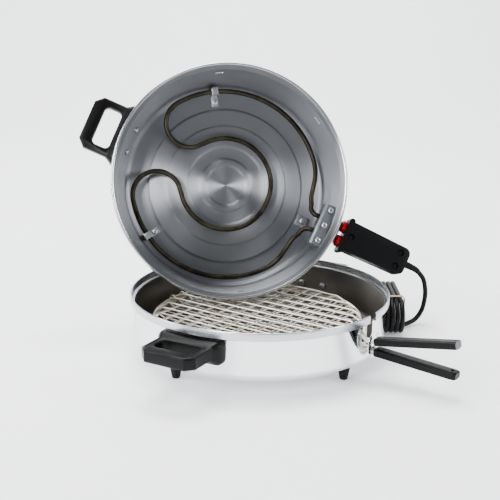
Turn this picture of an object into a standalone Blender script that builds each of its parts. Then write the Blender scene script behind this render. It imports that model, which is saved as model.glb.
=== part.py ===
"""Round tabletop electric grill: a spun pan with a hinged wire basket, a loose heating lid
that stands on the basket, and its plug-in connector with the cord folded in a hank.

Metres, +Z up. The origin is on the pan's axis, on the underside of its floor.
"""
import math

import bmesh
import bpy
from mathutils import Vector

for old in list(bpy.data.objects):
    bpy.data.objects.remove(old, do_unlink=True)

GAP = 0.0003            # between pieces that rest on or pass through each other
TURNS = 48              # facets round the pan and the lid

# Pan
WALL_R = 0.146          # outside of the upright wall
SHEET = 0.0015
PAN_HEIGHT = 0.057
BAND_STEP = 0.004       # rim band's overhang beyond the wall
BAND_SHEET = 0.002
BAND_HEIGHT = 0.009
PAN_CORNER = 0.010      # outside radius between wall and floor
FOOT_HEIGHT = 0.016
FOOT_TOP_R = 0.0072
FOOT_SOLE_R = 0.0045
FOOT_INSET = 0.0165     # foot's axis in from the wall
SLOT_AZIMUTH = math.radians(-35.5)
SLOT_WIDTH = 0.012
SLOT_BOTTOM = 0.0144

# Loop handles, three alike
HANDLE_REACH = 0.050
HANDLE_HALF = 0.033
HANDLE_CHAMFER = 0.009
HANDLE_BAR = 0.015      # width of the bar round the finger opening
HANDLE_THICK = 0.011
FLANGE_HALF = 0.039
FLANGE_HEIGHT = 0.026
FLANGE_THICK = 0.006
FLANGE_OVER = 0.004     # flange's top edge above the bar's top
HANDLE_TOP_Z = 0.042    # top of the bar on the pan
HANDLE_AZIMUTHS = {"front": math.radians(-118.5), "rear": math.radians(61.0)}
SCREW_SPREAD = 0.0146   # handle screws, each side of the middle
SCREW_DROP = 0.017      # handle screws below the bar's top
SCREW_HEAD_R = 0.0038
SCREW_SHANK_R = 0.0019

# Basket, measured along the line through the slot
BASKET_CLEARANCE = 0.0235   # ring's line in from the inside of the wall
BASKET_SHIFT = 0.0034       # basket's centre back from the pan's axis
RING_WIRE_R = 0.0016
GRID_WIRE_R = 0.0010
HANDLE_WIRE_R = 0.00175
WIRE_PITCH = 0.018
WIRE_COUNT = 6              # wires each side of the middle one
RING_SPLIT_Z = 0.0224       # plane between the two rings
RING_OFFSET = 0.0019
DISH = 0.0044               # a grid's outer wires above its ring
DISH_RUN = 0.010            # length in which a wire bends down to the ring
WIRE_GAP_Z = 0.0023         # between the two crossed layers
HANDLE_WIRE_SPREAD = 0.0035
HINGE_LOOP_R = 0.0050
HINGE_LOOP_WIRE_R = 0.0010
REST_HALF = 0.036           # wire rests under the lower grid
COVER_HALF_H = 0.015
COVER_HALF_W = 0.013
COVER_THICK = 0.0010
COVER_Z = 0.023
COVER_STANDOFF = 0.002      # cover plate outside the rim band

# Grips
GRIP_START = 0.005          # root, out from the rim band
GRIP_LENGTH = 0.096
GRIP_WIDTH = 0.015
GRIP_THICK = 0.009
GRIP_BORE = 0.025
UPPER_ROOT_Z, UPPER_RISE = 0.0275, math.radians(10.3)
LOWER_ROOT_Z, LOWER_RISE = 0.0160, math.radians(-3.1)

# Lid, depths measured back from its mouth
LID_CLEARANCE = 0.0028      # rim in from the inside of the pan's band
LID_BAND = 0.009
LID_LEDGE = 0.0085          # rim's outside beyond the wall's inside
LID_TAPER = 0.009           # wall's narrowing from band to crown
LID_DEPTH = 0.058
LID_CORNER = 0.008
LID_LEAN = math.radians(18.47)
LID_YAW = math.radians(8.87)
LID_X = -0.0349
LID_BACK = 0.0652           # mouth's centre in from the pan's wall, along Y
RINGS = (                   # crown's pressed rings: radius, height towards the mouth
    (0.098, 0.0010), (0.076, 0.0018), (0.049, 0.0008), (0.0336, 0.0016), (0.025, 0.0008),
)
VENT = (0.010, 0.003)       # vent slot, along the rim and across
VENT_DEPTH = 0.016

# Heating element
ROD_R = 0.003
ROD_DEPTH = 0.044
OUTER_NEAR, OUTER_FAR = 0.1150, 0.1190  # outer run, at the inlet and at the U-turns
INNER_NEAR, INNER_FAR = 0.0550, 0.0590
UTURN_ANGLE = math.radians(146)
INLET_ANGLE = math.radians(-26.7)       # from the lid's right-hand side
PIN_SPREAD = 0.0095
PIN_DEPTH = 0.016
CLIP_ANGLE = math.radians(122)
LID_HANDLE_ANGLE = math.radians(155)

# Connector, distances out from the lid's axis
PIN_R = 0.0020
PIN_END = 0.170
BLOCK_END = 0.1487
SLEEVE_START = 0.150
SLEEVE_END = 0.176
SLEEVE_R = 0.0052
FLANGE_START = 0.155
BODY_START = 0.162
BODY_END = 0.242
BODY_THICK = 0.022
BODY_HALF_IN, BODY_HALF_OUT = 0.019, 0.0175
EAR_HALF = 0.0225
BODY_ROUND = 0.008

# Cord
CORD_R = 0.003
HANK_X0, HANK_X1 = 0.1470, 0.1774
HANK_FRONT, HANK_REAR = 0.034, 0.148
FOLD_R = 0.0185             # a fold's line
BAND_Y, BAND_WIDE, BAND_THICK = 0.063, 0.006, 0.001

# Sizes that follow
PAN_R = WALL_R + BAND_STEP
WALL_IN = WALL_R - SHEET
BASKET_R = WALL_IN - BASKET_CLEARANCE
UPPER_RING_Z = RING_SPLIT_Z + RING_OFFSET
LOWER_RING_Z = RING_SPLIT_Z - RING_OFFSET
GRID_TOP = UPPER_RING_Z + DISH + GRID_WIRE_R
LID_RIM = PAN_R - BAND_SHEET - LID_CLEARANCE
LID_WALL = LID_RIM - LID_LEDGE              # wall's inside, under the band
LID_FOOT = LID_WALL - LID_TAPER             # wall's inside, at the crown's corner
CORNER_AT = LID_FOOT - LID_CORNER
TABLE_Z = -FOOT_HEIGHT


def lid_inside(depth):
    """Radius of the lid wall's inside at a depth behind the mouth."""
    share = (depth - LID_BAND) / (LID_DEPTH - LID_CORNER - LID_BAND)
    return LID_WALL - LID_TAPER * share


# The lid stands on the grid on the lowest of its rim's edge and its crown's corner.
rim_drop = math.cos(LID_LEAN) * LID_RIM + math.sin(LID_LEAN) * (LID_BAND - 0.001)
corner_drop = (math.cos(LID_LEAN) * CORNER_AT + math.sin(LID_LEAN) * (LID_DEPTH - LID_CORNER)
               + LID_CORNER + SHEET)
LID_Z = GRID_TOP + GAP + max(rim_drop, corner_drop)


def material(name, colour, roughness, metallic=0.0):
    mat = bpy.data.materials.new(name)
    mat.use_nodes = True
    shader = mat.node_tree.nodes["Principled BSDF"]
    shader.inputs["Base Color"].default_value = (*colour, 1.0)
    shader.inputs["Roughness"].default_value = roughness
    shader.inputs["Metallic"].default_value = metallic
    mat.diffuse_color = (*colour, 1.0)
    return mat


SPUN = material("spun_aluminium", (0.75, 0.76, 0.77), 0.22, 1.0)
LID_ALU = material("lid_aluminium", (0.62, 0.62, 0.63), 0.30, 1.0)
BAKELITE = material("black_bakelite", (0.015, 0.015, 0.016), 0.32)
RUBBER = material("black_rubber", (0.018, 0.018, 0.018), 0.60)
TINNED = material("tinned_wire", (0.80, 0.77, 0.70), 0.30, 1.0)
CHROME = material("bright_plate", (0.80, 0.80, 0.82), 0.12, 1.0)
ZINC = material("zinc_screw", (0.62, 0.62, 0.62), 0.35, 1.0)
SHEATH = material("element_sheath", (0.16, 0.14, 0.11), 0.45, 1.0)
CERAMIC = material("terminal_block", (0.55, 0.53, 0.48), 0.60)
BRASS = material("contact_brass", (0.70, 0.55, 0.28), 0.30, 1.0)
CHARCOAL = material("connector_plastic", (0.03, 0.03, 0.033), 0.45)
RED = material("red_insulator", (0.35, 0.02, 0.02), 0.45)
SHEATHING = material("cord_sheath", (0.015, 0.015, 0.015), 0.50)
BEIGE = material("elastic_band", (0.62, 0.52, 0.36), 0.70)


def add(name, data, mat=None, parent=None, at=(0, 0, 0), turn=(0, 0, 0)):
    """Make an object; without a material it is a cutter or an operand."""
    obj = bpy.data.objects.new(name, data)
    obj.location, obj.rotation_euler, obj.parent = at, turn, parent
    bpy.context.scene.collection.objects.link(obj)
    if data is None:
        return obj
    if mat is None:
        obj.hide_render = True
        obj.display_type = "WIRE"
        return obj
    data.materials.clear()
    data.materials.append(mat)
    if isinstance(data, bpy.types.Mesh):
        data.shade_smooth()
        data.set_sharp_from_angle(angle=math.radians(35))
    return obj


def finish(bm, name):
    bmesh.ops.recalc_face_normals(bm, faces=bm.faces)
    mesh = bpy.data.meshes.new(name)
    bm.to_mesh(mesh)
    bm.free()
    return mesh


def lathe(name, profile, steps=TURNS):
    """Turn a closed profile of (radius, height) points about Z."""
    bm = bmesh.new()
    rings = []
    for radius, height in profile:
        if radius < 1e-6:
            rings.append([bm.verts.new((0, 0, height))] * steps)
        else:
            angles = (2 * math.pi * k / steps for k in range(steps))
            rings.append([bm.verts.new((radius * math.cos(a), radius * math.sin(a), height))
                          for a in angles])
    for here, there in zip(rings, rings[1:] + rings[:1]):
        for k in range(steps):
            corners = [here[k], here[k - 1], there[k - 1], there[k]]
            corners = [v for i, v in enumerate(corners) if v not in corners[:i]]
            if len(corners) > 2:
                bm.faces.new(corners)
    return finish(bm, name)


def prism(name, outline, low, high, axis="Z"):
    """Extrude an outline of (u, v) points along an axis; (u, v) are the other two in order."""
    place = {"X": lambda u, v, w: (w, u, v), "Y": lambda u, v, w: (u, w, v),
             "Z": lambda u, v, w: (u, v, w)}[axis]
    bm = bmesh.new()
    ends = [[bm.verts.new(place(u, v, w)) for u, v in outline] for w in (low, high)]
    for k in range(len(outline)):
        bm.faces.new((ends[0][k - 1], ends[0][k], ends[1][k], ends[1][k - 1]))
    bm.faces.new(ends[0])
    bm.faces.new(ends[1])
    return finish(bm, name)


def rounded(u0, u1, v0, v1, radius, steps=3):
    """Outline of a rectangle with round corners."""
    corners = ((u1 - radius, v1 - radius, 0), (u0 + radius, v1 - radius, 1),
               (u0 + radius, v0 + radius, 2), (u1 - radius, v0 + radius, 3))
    return [(u + radius * math.cos(math.pi / 2 * (q + k / steps)),
             v + radius * math.sin(math.pi / 2 * (q + k / steps)))
            for u, v, q in corners for k in range(steps + 1)]


def arc(cu, cv, radius, start, end, steps):
    return [(cu + radius * math.cos(start + (end - start) * k / steps),
             cv + radius * math.sin(start + (end - start) * k / steps))
            for k in range(steps + 1)]


def cylinder(name, radius, length, steps=16):
    """Cylinder along +Z from the origin."""
    return lathe(name, [(0, 0), (radius, 0), (radius, length), (0, length)], steps)


def wire(name, points, radius, resolution=1, cyclic=False, radii=None):
    """Curve through the points with a round section and filled ends."""
    curve = bpy.data.curves.new(name, "CURVE")
    curve.dimensions = "3D"
    curve.bevel_depth = radius
    curve.bevel_resolution = resolution
    curve.use_fill_caps = True
    spline = curve.splines.new("POLY")
    spline.points.add(len(points) - 1)
    for k, point in enumerate(points):
        spline.points[k].co = (*point, 1.0)
        spline.points[k].radius = radii[k] if radii else 1.0
    spline.use_cyclic_u = cyclic
    return curve


def wire_mesh(*args, **kwargs):
    """The same wire as a mesh, for joining to others."""
    guide = bpy.data.objects.new("guide", wire(*args, **kwargs))
    mesh = bpy.data.meshes.new_from_object(guide)
    bpy.data.objects.remove(guide)
    return mesh


def boolean(obj, tool, operation="DIFFERENCE"):
    modifier = obj.modifiers.new(operation.lower(), "BOOLEAN")
    modifier.operation = operation
    modifier.solver = "EXACT"
    if isinstance(tool, bpy.types.Collection):
        modifier.operand_type = "COLLECTION"
        modifier.collection = tool
    else:
        modifier.object = tool


def bevel(obj, width, segments=2, angle=60):
    modifier = obj.modifiers.new("edges", "BEVEL")
    modifier.width = width
    modifier.segments = segments
    modifier.limit_method = "ANGLE"
    modifier.angle_limit = math.radians(angle)


def box(x0, x1, y0, y1, z0, z1, name="box"):
    return prism(name, [(x0, y0), (x1, y0), (x1, y1), (x0, y1)], z0, z1)


def screw_mesh(head_r, head_h, shank_r, length):
    """Raised head above the origin, shank below it."""
    return lathe("screw", [(0, -length), (shank_r, -length), (shank_r, 0), (head_r, 0),
                           (head_r * 0.9, head_h), (0, head_h)], 10)


# ---------------------------------------------------------------- pan
band_in = PAN_R - BAND_SHEET
band_z = PAN_HEIGHT - BAND_HEIGHT
turn_quarter = math.pi / 2
profile = [(band_in + 0.0003, PAN_HEIGHT - 0.0006), (band_in + 0.0010, PAN_HEIGHT),
           (PAN_R - 0.0005, PAN_HEIGHT - 0.0003), (PAN_R, PAN_HEIGHT - 0.0012),
           (PAN_R, band_z), (WALL_R, band_z - 0.0006)]
profile += arc(WALL_R - PAN_CORNER, PAN_CORNER, PAN_CORNER, 0, -turn_quarter, 4)
profile += [(0, 0), (0, SHEET)]
profile += arc(WALL_R - PAN_CORNER, PAN_CORNER, PAN_CORNER - SHEET, -turn_quarter, 0, 3)
profile += [(WALL_IN, band_z), (band_in, band_z + 0.0006)]
pan = add("pan_shell", lathe("pan_shell", profile), SPUN)

slot_line = add("slot_line", None, turn=(0, 0, SLOT_AZIMUTH))
slot = add("slot_cutter", box(WALL_IN - 0.015, PAN_R + 0.010, -SLOT_WIDTH / 2, SLOT_WIDTH / 2,
                              SLOT_BOTTOM, PAN_HEIGHT + 0.010), parent=slot_line)
boolean(pan, slot)

foot_r = WALL_R - FOOT_INSET
foot_profile = [(0, -FOOT_HEIGHT), (FOOT_SOLE_R - 0.0012, -FOOT_HEIGHT),
                (FOOT_SOLE_R, -FOOT_HEIGHT + 0.0012), (FOOT_TOP_R, -0.0016),
                (FOOT_TOP_R - 0.0004, -GAP), (0, -GAP)]
foot_mesh = lathe("foot", foot_profile, 16)
for k, degrees in enumerate((45, 135, -135, -45), 1):
    a = math.radians(degrees)
    add(f"foot_{k}", foot_mesh, RUBBER, at=(foot_r * math.cos(a), foot_r * math.sin(a), 0))


# ---------------------------------------------------------------- loop handles
def loop_handle(name, frame, face, top, wall_tool, wall_obj, inside, inside_low):
    """A loop handle in a frame whose X points out; face is its mounting radius, top its bar's
    top. wall_tool is what its back must clear. inside and inside_low are the wall's inner
    radii beside the screws' middles and at the heads' lower edges."""
    end = face + HANDLE_REACH
    outline = [(face - 0.001, -HANDLE_HALF), (end - HANDLE_CHAMFER, -HANDLE_HALF),
               (end, -HANDLE_HALF + HANDLE_CHAMFER), (end, HANDLE_HALF - HANDLE_CHAMFER),
               (end - HANDLE_CHAMFER, HANDLE_HALF), (face - 0.001, HANDLE_HALF)]
    handle = add(name, prism(name, outline, top - HANDLE_THICK, top), BAKELITE, frame)
    bevel(handle, 0.0022)
    opening = rounded(face + FLANGE_THICK + 0.007, end - HANDLE_BAR,
                      HANDLE_BAR - 0.006 - HANDLE_HALF, HANDLE_HALF - HANDLE_BAR + 0.006, 0.005)
    boolean(handle, add(name + "_opening", prism("opening", opening, top - 0.03, top + 0.01),
                        parent=frame))
    back = (inside**2 - FLANGE_HALF**2) ** 0.5 - 0.004
    flange = add(name + "_flange", prism("flange", rounded(
        -FLANGE_HALF, FLANGE_HALF, top + FLANGE_OVER - FLANGE_HEIGHT, top + FLANGE_OVER, 0.006),
        back, face + FLANGE_THICK, "X"), parent=frame)
    bevel(flange, 0.0012, 1)
    boolean(handle, flange, "UNION")
    boolean(handle, wall_tool)
    seat = (inside_low**2 - (SCREW_SPREAD + SCREW_HEAD_R) ** 2) ** 0.5 - GAP
    reach = face + FLANGE_THICK * 0.5
    for k, side in ((1, -1), (2, 1)):
        place = (seat, side * SCREW_SPREAD, top - SCREW_DROP)
        add(f"{name}_screw_{k}", screw_mesh(SCREW_HEAD_R, 0.0024, SCREW_SHANK_R, reach - seat),
            ZINC, frame, place, (0, -math.pi / 2, 0))
        bore = add(f"{name}_bore_{k}", cylinder("bore", SCREW_SHANK_R + GAP,
                                                reach + GAP - seat + 0.006),
                   parent=frame, at=(seat - 0.006, place[1], place[2]), turn=(0, math.pi / 2, 0))
        boolean(handle, bore)
        boolean(wall_obj, bore)
    return handle


pan_wall_tool = add("pan_wall_tool", lathe("pan_wall_tool", [
    (0, -0.02), (WALL_R + GAP, -0.02), (WALL_R + GAP, 0.08), (0, 0.08)], 128))
for side, azimuth in HANDLE_AZIMUTHS.items():
    line = add(f"handle_line_{side}", None, turn=(0, 0, azimuth))
    loop_handle(f"pan_handle_{side}", line, WALL_R + 0.001, HANDLE_TOP_Z, pan_wall_tool, pan,
                WALL_IN, WALL_IN)


# ---------------------------------------------------------------- basket
basket = add("basket_frame", None, parent=slot_line, at=(-BASKET_SHIFT, 0, 0))
GRIP_X = PAN_R + GRIP_START + BASKET_SHIFT      # grips' roots from the basket's centre
COVER_X = PAN_R + COVER_STANDOFF + BASKET_SHIFT


def grip_z(root_z, rise, x):
    return root_z + (x - GRIP_X) * math.tan(rise)


def half_basket(name, ring_z, sense, root_z, rise, wall_z):
    """One half: a ring with two crossed layers of wires, two arms welded on its outside that
    run to the grip and, under the lower half, two rests. sense is 1 where the grid is dished
    up and -1 where it is dished down."""
    ring_points = [(BASKET_R * math.cos(t), BASKET_R * math.sin(t), ring_z)
                   for t in (2 * math.pi * k / 40 for k in range(40))]
    half = add(name, wire_mesh(name, ring_points, RING_WIRE_R, cyclic=True), TINNED, basket)
    parts = bpy.data.collections.new(name + "_wires")
    bpy.context.scene.collection.children.link(parts)

    def part(points, radius):
        obj = add(f"{name}_wire", wire_mesh("wire", points, radius), parent=basket)
        bpy.context.scene.collection.objects.unlink(obj)
        parts.objects.link(obj)

    for layer in (0, 1):
        level = ring_z + sense * (DISH - layer * WIRE_GAP_Z)
        for k in range(-WIRE_COUNT, WIRE_COUNT + 1):
            across = k * WIRE_PITCH
            if abs(across) > BASKET_R - DISH_RUN:
                continue
            end = (BASKET_R**2 - across**2) ** 0.5
            flat = end - DISH_RUN
            line = [(-end, ring_z), (-flat, level), (flat, level), (end, ring_z)]
            part([(u, across, z) if layer == 0 else (across, u, z) for u, z in line],
                 GRID_WIRE_R)
    boolean(half, parts, "UNION")
    inner = GRIP_X - 0.003
    outer = GRIP_X + GRIP_BORE - 0.001
    start = BASKET_R + RING_WIRE_R + GAP
    for k, side in ((1, -1), (2, 1)):
        y = side * HANDLE_WIRE_SPREAD
        arm = name.replace("basket", "basket_arm") + f"_{k}"
        add(arm, wire_mesh(arm, [
            (start, y, ring_z), (WALL_IN + BASKET_SHIFT - 0.006, y, wall_z),
            (inner, y, grip_z(root_z, rise, inner)),
            (outer, y, grip_z(root_z, rise, outer))], HANDLE_WIRE_R), TINNED, basket)
    if sense < 0:
        under_grid = ring_z - DISH - GRID_WIRE_R - GAP
        foot_level = SHEET + GAP + GRID_WIRE_R * 1.2
        for k, x in ((1, -3 * WIRE_PITCH), (2, 3 * WIRE_PITCH)):
            add(f"basket_rest_{k}", wire_mesh("basket_rest", [
                (x, -REST_HALF, under_grid), (x, -REST_HALF, foot_level),
                (x, REST_HALF, foot_level), (x, REST_HALF, under_grid)],
                GRID_WIRE_R * 1.2), TINNED, basket)
    return half


upper_wall_z = 0.0255
lower_wall_z = 0.0182
half_basket("basket_lower", LOWER_RING_Z, -1, LOWER_ROOT_Z, LOWER_RISE, lower_wall_z)
half_basket("basket_upper", UPPER_RING_Z, 1, UPPER_ROOT_Z, UPPER_RISE, upper_wall_z)

loop_points = [(HINGE_LOOP_R * math.cos(t), 0, HINGE_LOOP_R * math.sin(t))
               for t in (2 * math.pi * k / 20 for k in range(20))]
loop_mesh = wire_mesh("hinge_loop", loop_points, HINGE_LOOP_WIRE_R, 1, True)
for k, side in ((1, -1), (2, 1)):
    add(f"basket_hinge_loop_{k}", loop_mesh, TINNED, basket,
        (-BASKET_R, side * WIRE_PITCH / 2, RING_SPLIT_Z))

oval = [(COVER_HALF_W * math.cos(t), COVER_Z + COVER_HALF_H * math.sin(t))
        for t in (2 * math.pi * k / 32 for k in range(32))]
cover = add("slot_cover", prism("slot_cover", oval, COVER_X - COVER_THICK / 2,
                                COVER_X + COVER_THICK / 2, "X"), CHROME, basket)
lower_here = grip_z(LOWER_ROOT_Z, LOWER_RISE, COVER_X)
upper_here = grip_z(UPPER_ROOT_Z, UPPER_RISE, COVER_X)
notch_half = HANDLE_WIRE_SPREAD + HANDLE_WIRE_R + 2 * GAP
boolean(cover, add("cover_notch", box(
    COVER_X - 0.01, COVER_X + 0.01, -notch_half, notch_half,
    (lower_here + upper_here) / 2, COVER_Z + COVER_HALF_H + 0.01), parent=basket))
for k, side in ((1, -1), (2, 1)):
    boolean(cover, add(f"cover_hole_{k}", cylinder("hole", HANDLE_WIRE_R + 1.5 * GAP, 0.02),
                       parent=basket, turn=(0, math.pi / 2, 0),
                       at=(COVER_X - 0.01, side * HANDLE_WIRE_SPREAD, lower_here)))


def grip(name, root_z, rise):
    frame = add(name + "_frame", None, parent=basket, at=(GRIP_X, 0, root_z), turn=(0, -rise, 0))
    obj = add(name, box(0, GRIP_LENGTH, -GRIP_WIDTH / 2, GRIP_WIDTH / 2,
                        -GRIP_THICK / 2, GRIP_THICK / 2, name), BAKELITE, frame)
    bevel(obj, 0.0022)
    for k, side in ((1, -1), (2, 1)):
        boolean(obj, add(f"{name}_bore_{k}", cylinder("bore", HANDLE_WIRE_R + GAP,
                                                      GRIP_BORE + 0.002),
                         parent=frame, at=(-0.002, side * HANDLE_WIRE_SPREAD, 0),
                         turn=(0, math.pi / 2, 0)))
    return obj, frame


grip("grip_upper", UPPER_ROOT_Z, UPPER_RISE)
lower_grip, lower_frame = grip("grip_lower", LOWER_ROOT_Z, LOWER_RISE)
boolean(lower_grip, add("hang_hole", cylinder("hole", 0.002, 0.02), parent=lower_frame,
                        at=(GRIP_LENGTH - 0.0065, 0, -0.01)))

# ---------------------------------------------------------------- lid
lid_frame = add("lid_frame", None, at=(LID_X, WALL_IN - LID_BACK, LID_Z),
                turn=(math.pi / 2 - LID_LEAN, 0, LID_YAW))
band_back = LID_BAND - SHEET
wall_out = LID_WALL + SHEET
profile = [(LID_RIM - 0.0030, -0.0012), (LID_RIM - 0.0020, 0), (LID_RIM - 0.0007, -0.0005),
           (LID_RIM, -0.0020), (LID_RIM, -LID_BAND + 0.0010), (LID_RIM - 0.001, -LID_BAND),
           (wall_out, -LID_BAND)]
profile += [(CORNER_AT + r, -d) for r, d in
            arc(0, LID_DEPTH - LID_CORNER, LID_CORNER + SHEET, 0, turn_quarter, 4)]
profile += [(0, -LID_DEPTH - SHEET), (0, -LID_DEPTH + RINGS[-1][1])]
step = 0.0012
for outer, inner in reversed(list(zip(RINGS, RINGS[1:]))):
    profile += [(inner[0] - step / 2, -LID_DEPTH + inner[1]),
                (inner[0] + step / 2, -LID_DEPTH + outer[1])]
profile += [(RINGS[0][0] - step / 2, -LID_DEPTH + RINGS[0][1]), (RINGS[0][0] + step / 2,
                                                                 -LID_DEPTH)]
profile += [(CORNER_AT + r, -d) for r, d in
            arc(0, LID_DEPTH - LID_CORNER, LID_CORNER, turn_quarter, 0, 3)]
profile += [(LID_WALL, -LID_BAND), (LID_WALL + 0.001, -band_back),
            (LID_RIM - 0.0026, -band_back + 0.0005)]
lid = add("lid_shell", lathe("lid_shell", profile), LID_ALU, lid_frame)

for k, degrees in enumerate((60, 120, -120, -60), 1):
    line = add(f"vent_line_{k}", None, parent=lid_frame,
               turn=(0, 0, INLET_ANGLE + math.radians(degrees)))
    boolean(lid, add(f"vent_{k}", prism("vent", rounded(
        -VENT[0] / 2, VENT[0] / 2, -VENT_DEPTH - VENT[1] / 2, -VENT_DEPTH + VENT[1] / 2, 0.0014,
        2), LID_FOOT - 0.005, LID_WALL + 0.004, "X"), parent=line))

lid_wall_tool = add("lid_wall_tool", lathe("lid_wall_tool", [
    (0, -LID_BAND + 0.0005), (wall_out + GAP, -LID_BAND + 0.0005), (wall_out + GAP, -LID_BAND),
    (LID_FOOT + SHEET + GAP, -LID_DEPTH + LID_CORNER), (0, -LID_DEPTH + LID_CORNER)], 128),
    parent=lid_frame)
handle_line = add("lid_handle_line", None, parent=lid_frame, turn=(0, 0, LID_HANDLE_ANGLE))
lid_handle_top = -LID_BAND - 2 * GAP - FLANGE_OVER
screw_depth = -lid_handle_top + SCREW_DROP
loop_handle("lid_handle", handle_line, wall_out, lid_handle_top, lid_wall_tool, lid,
            lid_inside(LID_BAND + FLANGE_HEIGHT), lid_inside(screw_depth + SCREW_HEAD_R))

# ---------------------------------------------------------------- inlet on the lid
inlet = add("inlet_line", None, parent=lid_frame, turn=(0, 0, INLET_ANGLE))
NECK_HALF_W, NECK_HALF_D = PIN_SPREAD + 0.0045, 0.0055
BLOCK_HALF = 0.027
BLOCK_IN = lid_inside(PIN_DEPTH) - 0.015
block_low, block_high = -PIN_DEPTH - 0.020, -PIN_DEPTH + 0.004
block = add("terminal_block", prism("terminal_block", [
    (BLOCK_IN, -BLOCK_HALF), (LID_RIM, -BLOCK_HALF), (LID_RIM, BLOCK_HALF),
    (BLOCK_IN, BLOCK_HALF)], block_low, block_high), CERAMIC, inlet)
boolean(block, add("lid_inside_tool", lathe("lid_inside_tool", [
    (0, 0), (lid_inside(0) - GAP, 0), (LID_FOOT - GAP, -LID_DEPTH + LID_CORNER),
    (0, -LID_DEPTH + LID_CORNER)], 128), parent=lid_frame), "INTERSECT")
neck_in = BLOCK_IN + 0.004
boolean(block, add("block_neck", box(neck_in, BLOCK_END, -NECK_HALF_W, NECK_HALF_W,
                                     -PIN_DEPTH - NECK_HALF_D + 0.0004,
                                     -PIN_DEPTH + 0.0036), parent=inlet), "UNION")
boolean(lid, add("inlet_hole", box(LID_FOOT - 0.002, LID_RIM - 0.0035, -NECK_HALF_W - GAP,
                                   NECK_HALF_W + GAP, -PIN_DEPTH - NECK_HALF_D + 0.0004 - GAP,
                                   -PIN_DEPTH + 0.0036 + GAP), parent=inlet))
for k, side in ((1, -1), (2, 1)):
    y = side * PIN_SPREAD
    start = BLOCK_IN + 0.006
    add(f"contact_pin_{k}", lathe("pin", [
        (0, 0), (PIN_R, 0), (PIN_R, PIN_END - start - 0.001),
        (PIN_R * 0.6, PIN_END - start), (0, PIN_END - start)], 16), BRASS, inlet,
        (start, y, -PIN_DEPTH), (0, math.pi / 2, 0))
    boolean(block, add(f"pin_bore_{k}", cylinder("bore", PIN_R + GAP, 0.05), parent=inlet,
                       at=(start - GAP, y, -PIN_DEPTH), turn=(0, math.pi / 2, 0)))
for k, (y, depth) in enumerate(((-0.0215, 0.031), (0.0, 0.029), (0.0215, 0.024)), 1):
    place = (BLOCK_IN - GAP, y, -depth)
    add(f"terminal_screw_{k}", screw_mesh(0.0033, 0.0020, 0.0016, 0.008), ZINC, inlet, place,
        (0, -math.pi / 2, 0))
    boolean(block, add(f"terminal_bore_{k}", cylinder("bore", 0.0016 + GAP, 0.012),
                       parent=inlet, at=(BLOCK_IN - 0.004, y, -depth),
                       turn=(0, math.pi / 2, 0)))

# Small earthing plate on the crown, in front of the block
EARTH_X, EARTH_HALF = 0.108, 0.007
earth_top = -LID_DEPTH + GAP + 0.0012
earth = add("earth_plate", prism("earth_plate", rounded(
    EARTH_X - 0.008, EARTH_X + 0.008, -EARTH_HALF, EARTH_HALF, 0.002), -LID_DEPTH + GAP,
    earth_top), ZINC, inlet)


def crown_screw(name, frame, x, y, seat, clamped):
    """Screw through a strap and the crown, its head towards the mouth."""
    add(name, screw_mesh(0.0034, 0.0022, 0.0016, seat + GAP + LID_DEPTH + SHEET + 0.002), ZINC,
        frame, (x, y, seat + GAP))
    bore = add(name + "_bore", cylinder("bore", 0.0016 + GAP, 0.02), parent=frame,
               at=(x, y, -LID_DEPTH - 0.01))
    boolean(clamped, bore)
    boolean(lid, bore)


crown_screw("earth_screw", inlet, EARTH_X, 0, earth_top, earth)


# ---------------------------------------------------------------- heating element
def polar(radius, angle, depth=ROD_DEPTH):
    return Vector((radius * math.cos(angle), radius * math.sin(angle), -depth))


def element_half():
    """From the terminal along the outer run and round the U-turn to the inner run's end."""
    end_depth = PIN_DEPTH + 0.008
    bend = 0.011
    points = [Vector((BLOCK_IN - GAP, PIN_SPREAD, -end_depth)),
              Vector((BLOCK_IN - 0.003, PIN_SPREAD, -end_depth))]
    for k in range(1, 5):
        t = math.pi / 2 * k / 4
        x = BLOCK_IN - 0.003 - bend * math.sin(t)
        y = PIN_SPREAD + bend * (1 - math.cos(t))
        points.append(Vector((x, y, -end_depth - 0.006 * k / 4)))
    first = math.radians(16)
    steps = 18
    for k in range(steps + 1):
        share = k / steps
        angle = first + (UTURN_ANGLE - first) * share
        drop = min(1.0, k / 3)
        drop = drop * drop * (3 - 2 * drop)
        depth = end_depth + 0.006 + (ROD_DEPTH - end_depth - 0.006) * drop
        start_r = BLOCK_IN - 0.003 - bend
        near = start_r + (OUTER_NEAR - start_r) * drop
        points.append(polar(near + (OUTER_FAR - OUTER_NEAR) * share, angle, depth))
    middle, reach = (OUTER_FAR + INNER_FAR) / 2, (OUTER_FAR - INNER_FAR) / 2
    centre, out = polar(middle, UTURN_ANGLE), polar(1, UTURN_ANGLE, 0)
    along = polar(1, UTURN_ANGLE + math.pi / 2, 0)
    for k in range(1, 8):
        t = math.pi * k / 8
        points.append(centre + out * (reach * math.cos(t)) + along * (reach * math.sin(t)))
    return points


half = element_half()
inner_run = []
for k in range(25):
    share = 1 - k / 12
    angle = UTURN_ANGLE * share
    inner_run.append(polar(INNER_NEAR + (INNER_FAR - INNER_NEAR) * abs(share), angle))
mirrored = [Vector((p.x, -p.y, p.z)) for p in reversed(half)]
add("heating_element", wire("heating_element", half + inner_run + mirrored, ROD_R, 1), SHEATH,
    inlet)

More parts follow.
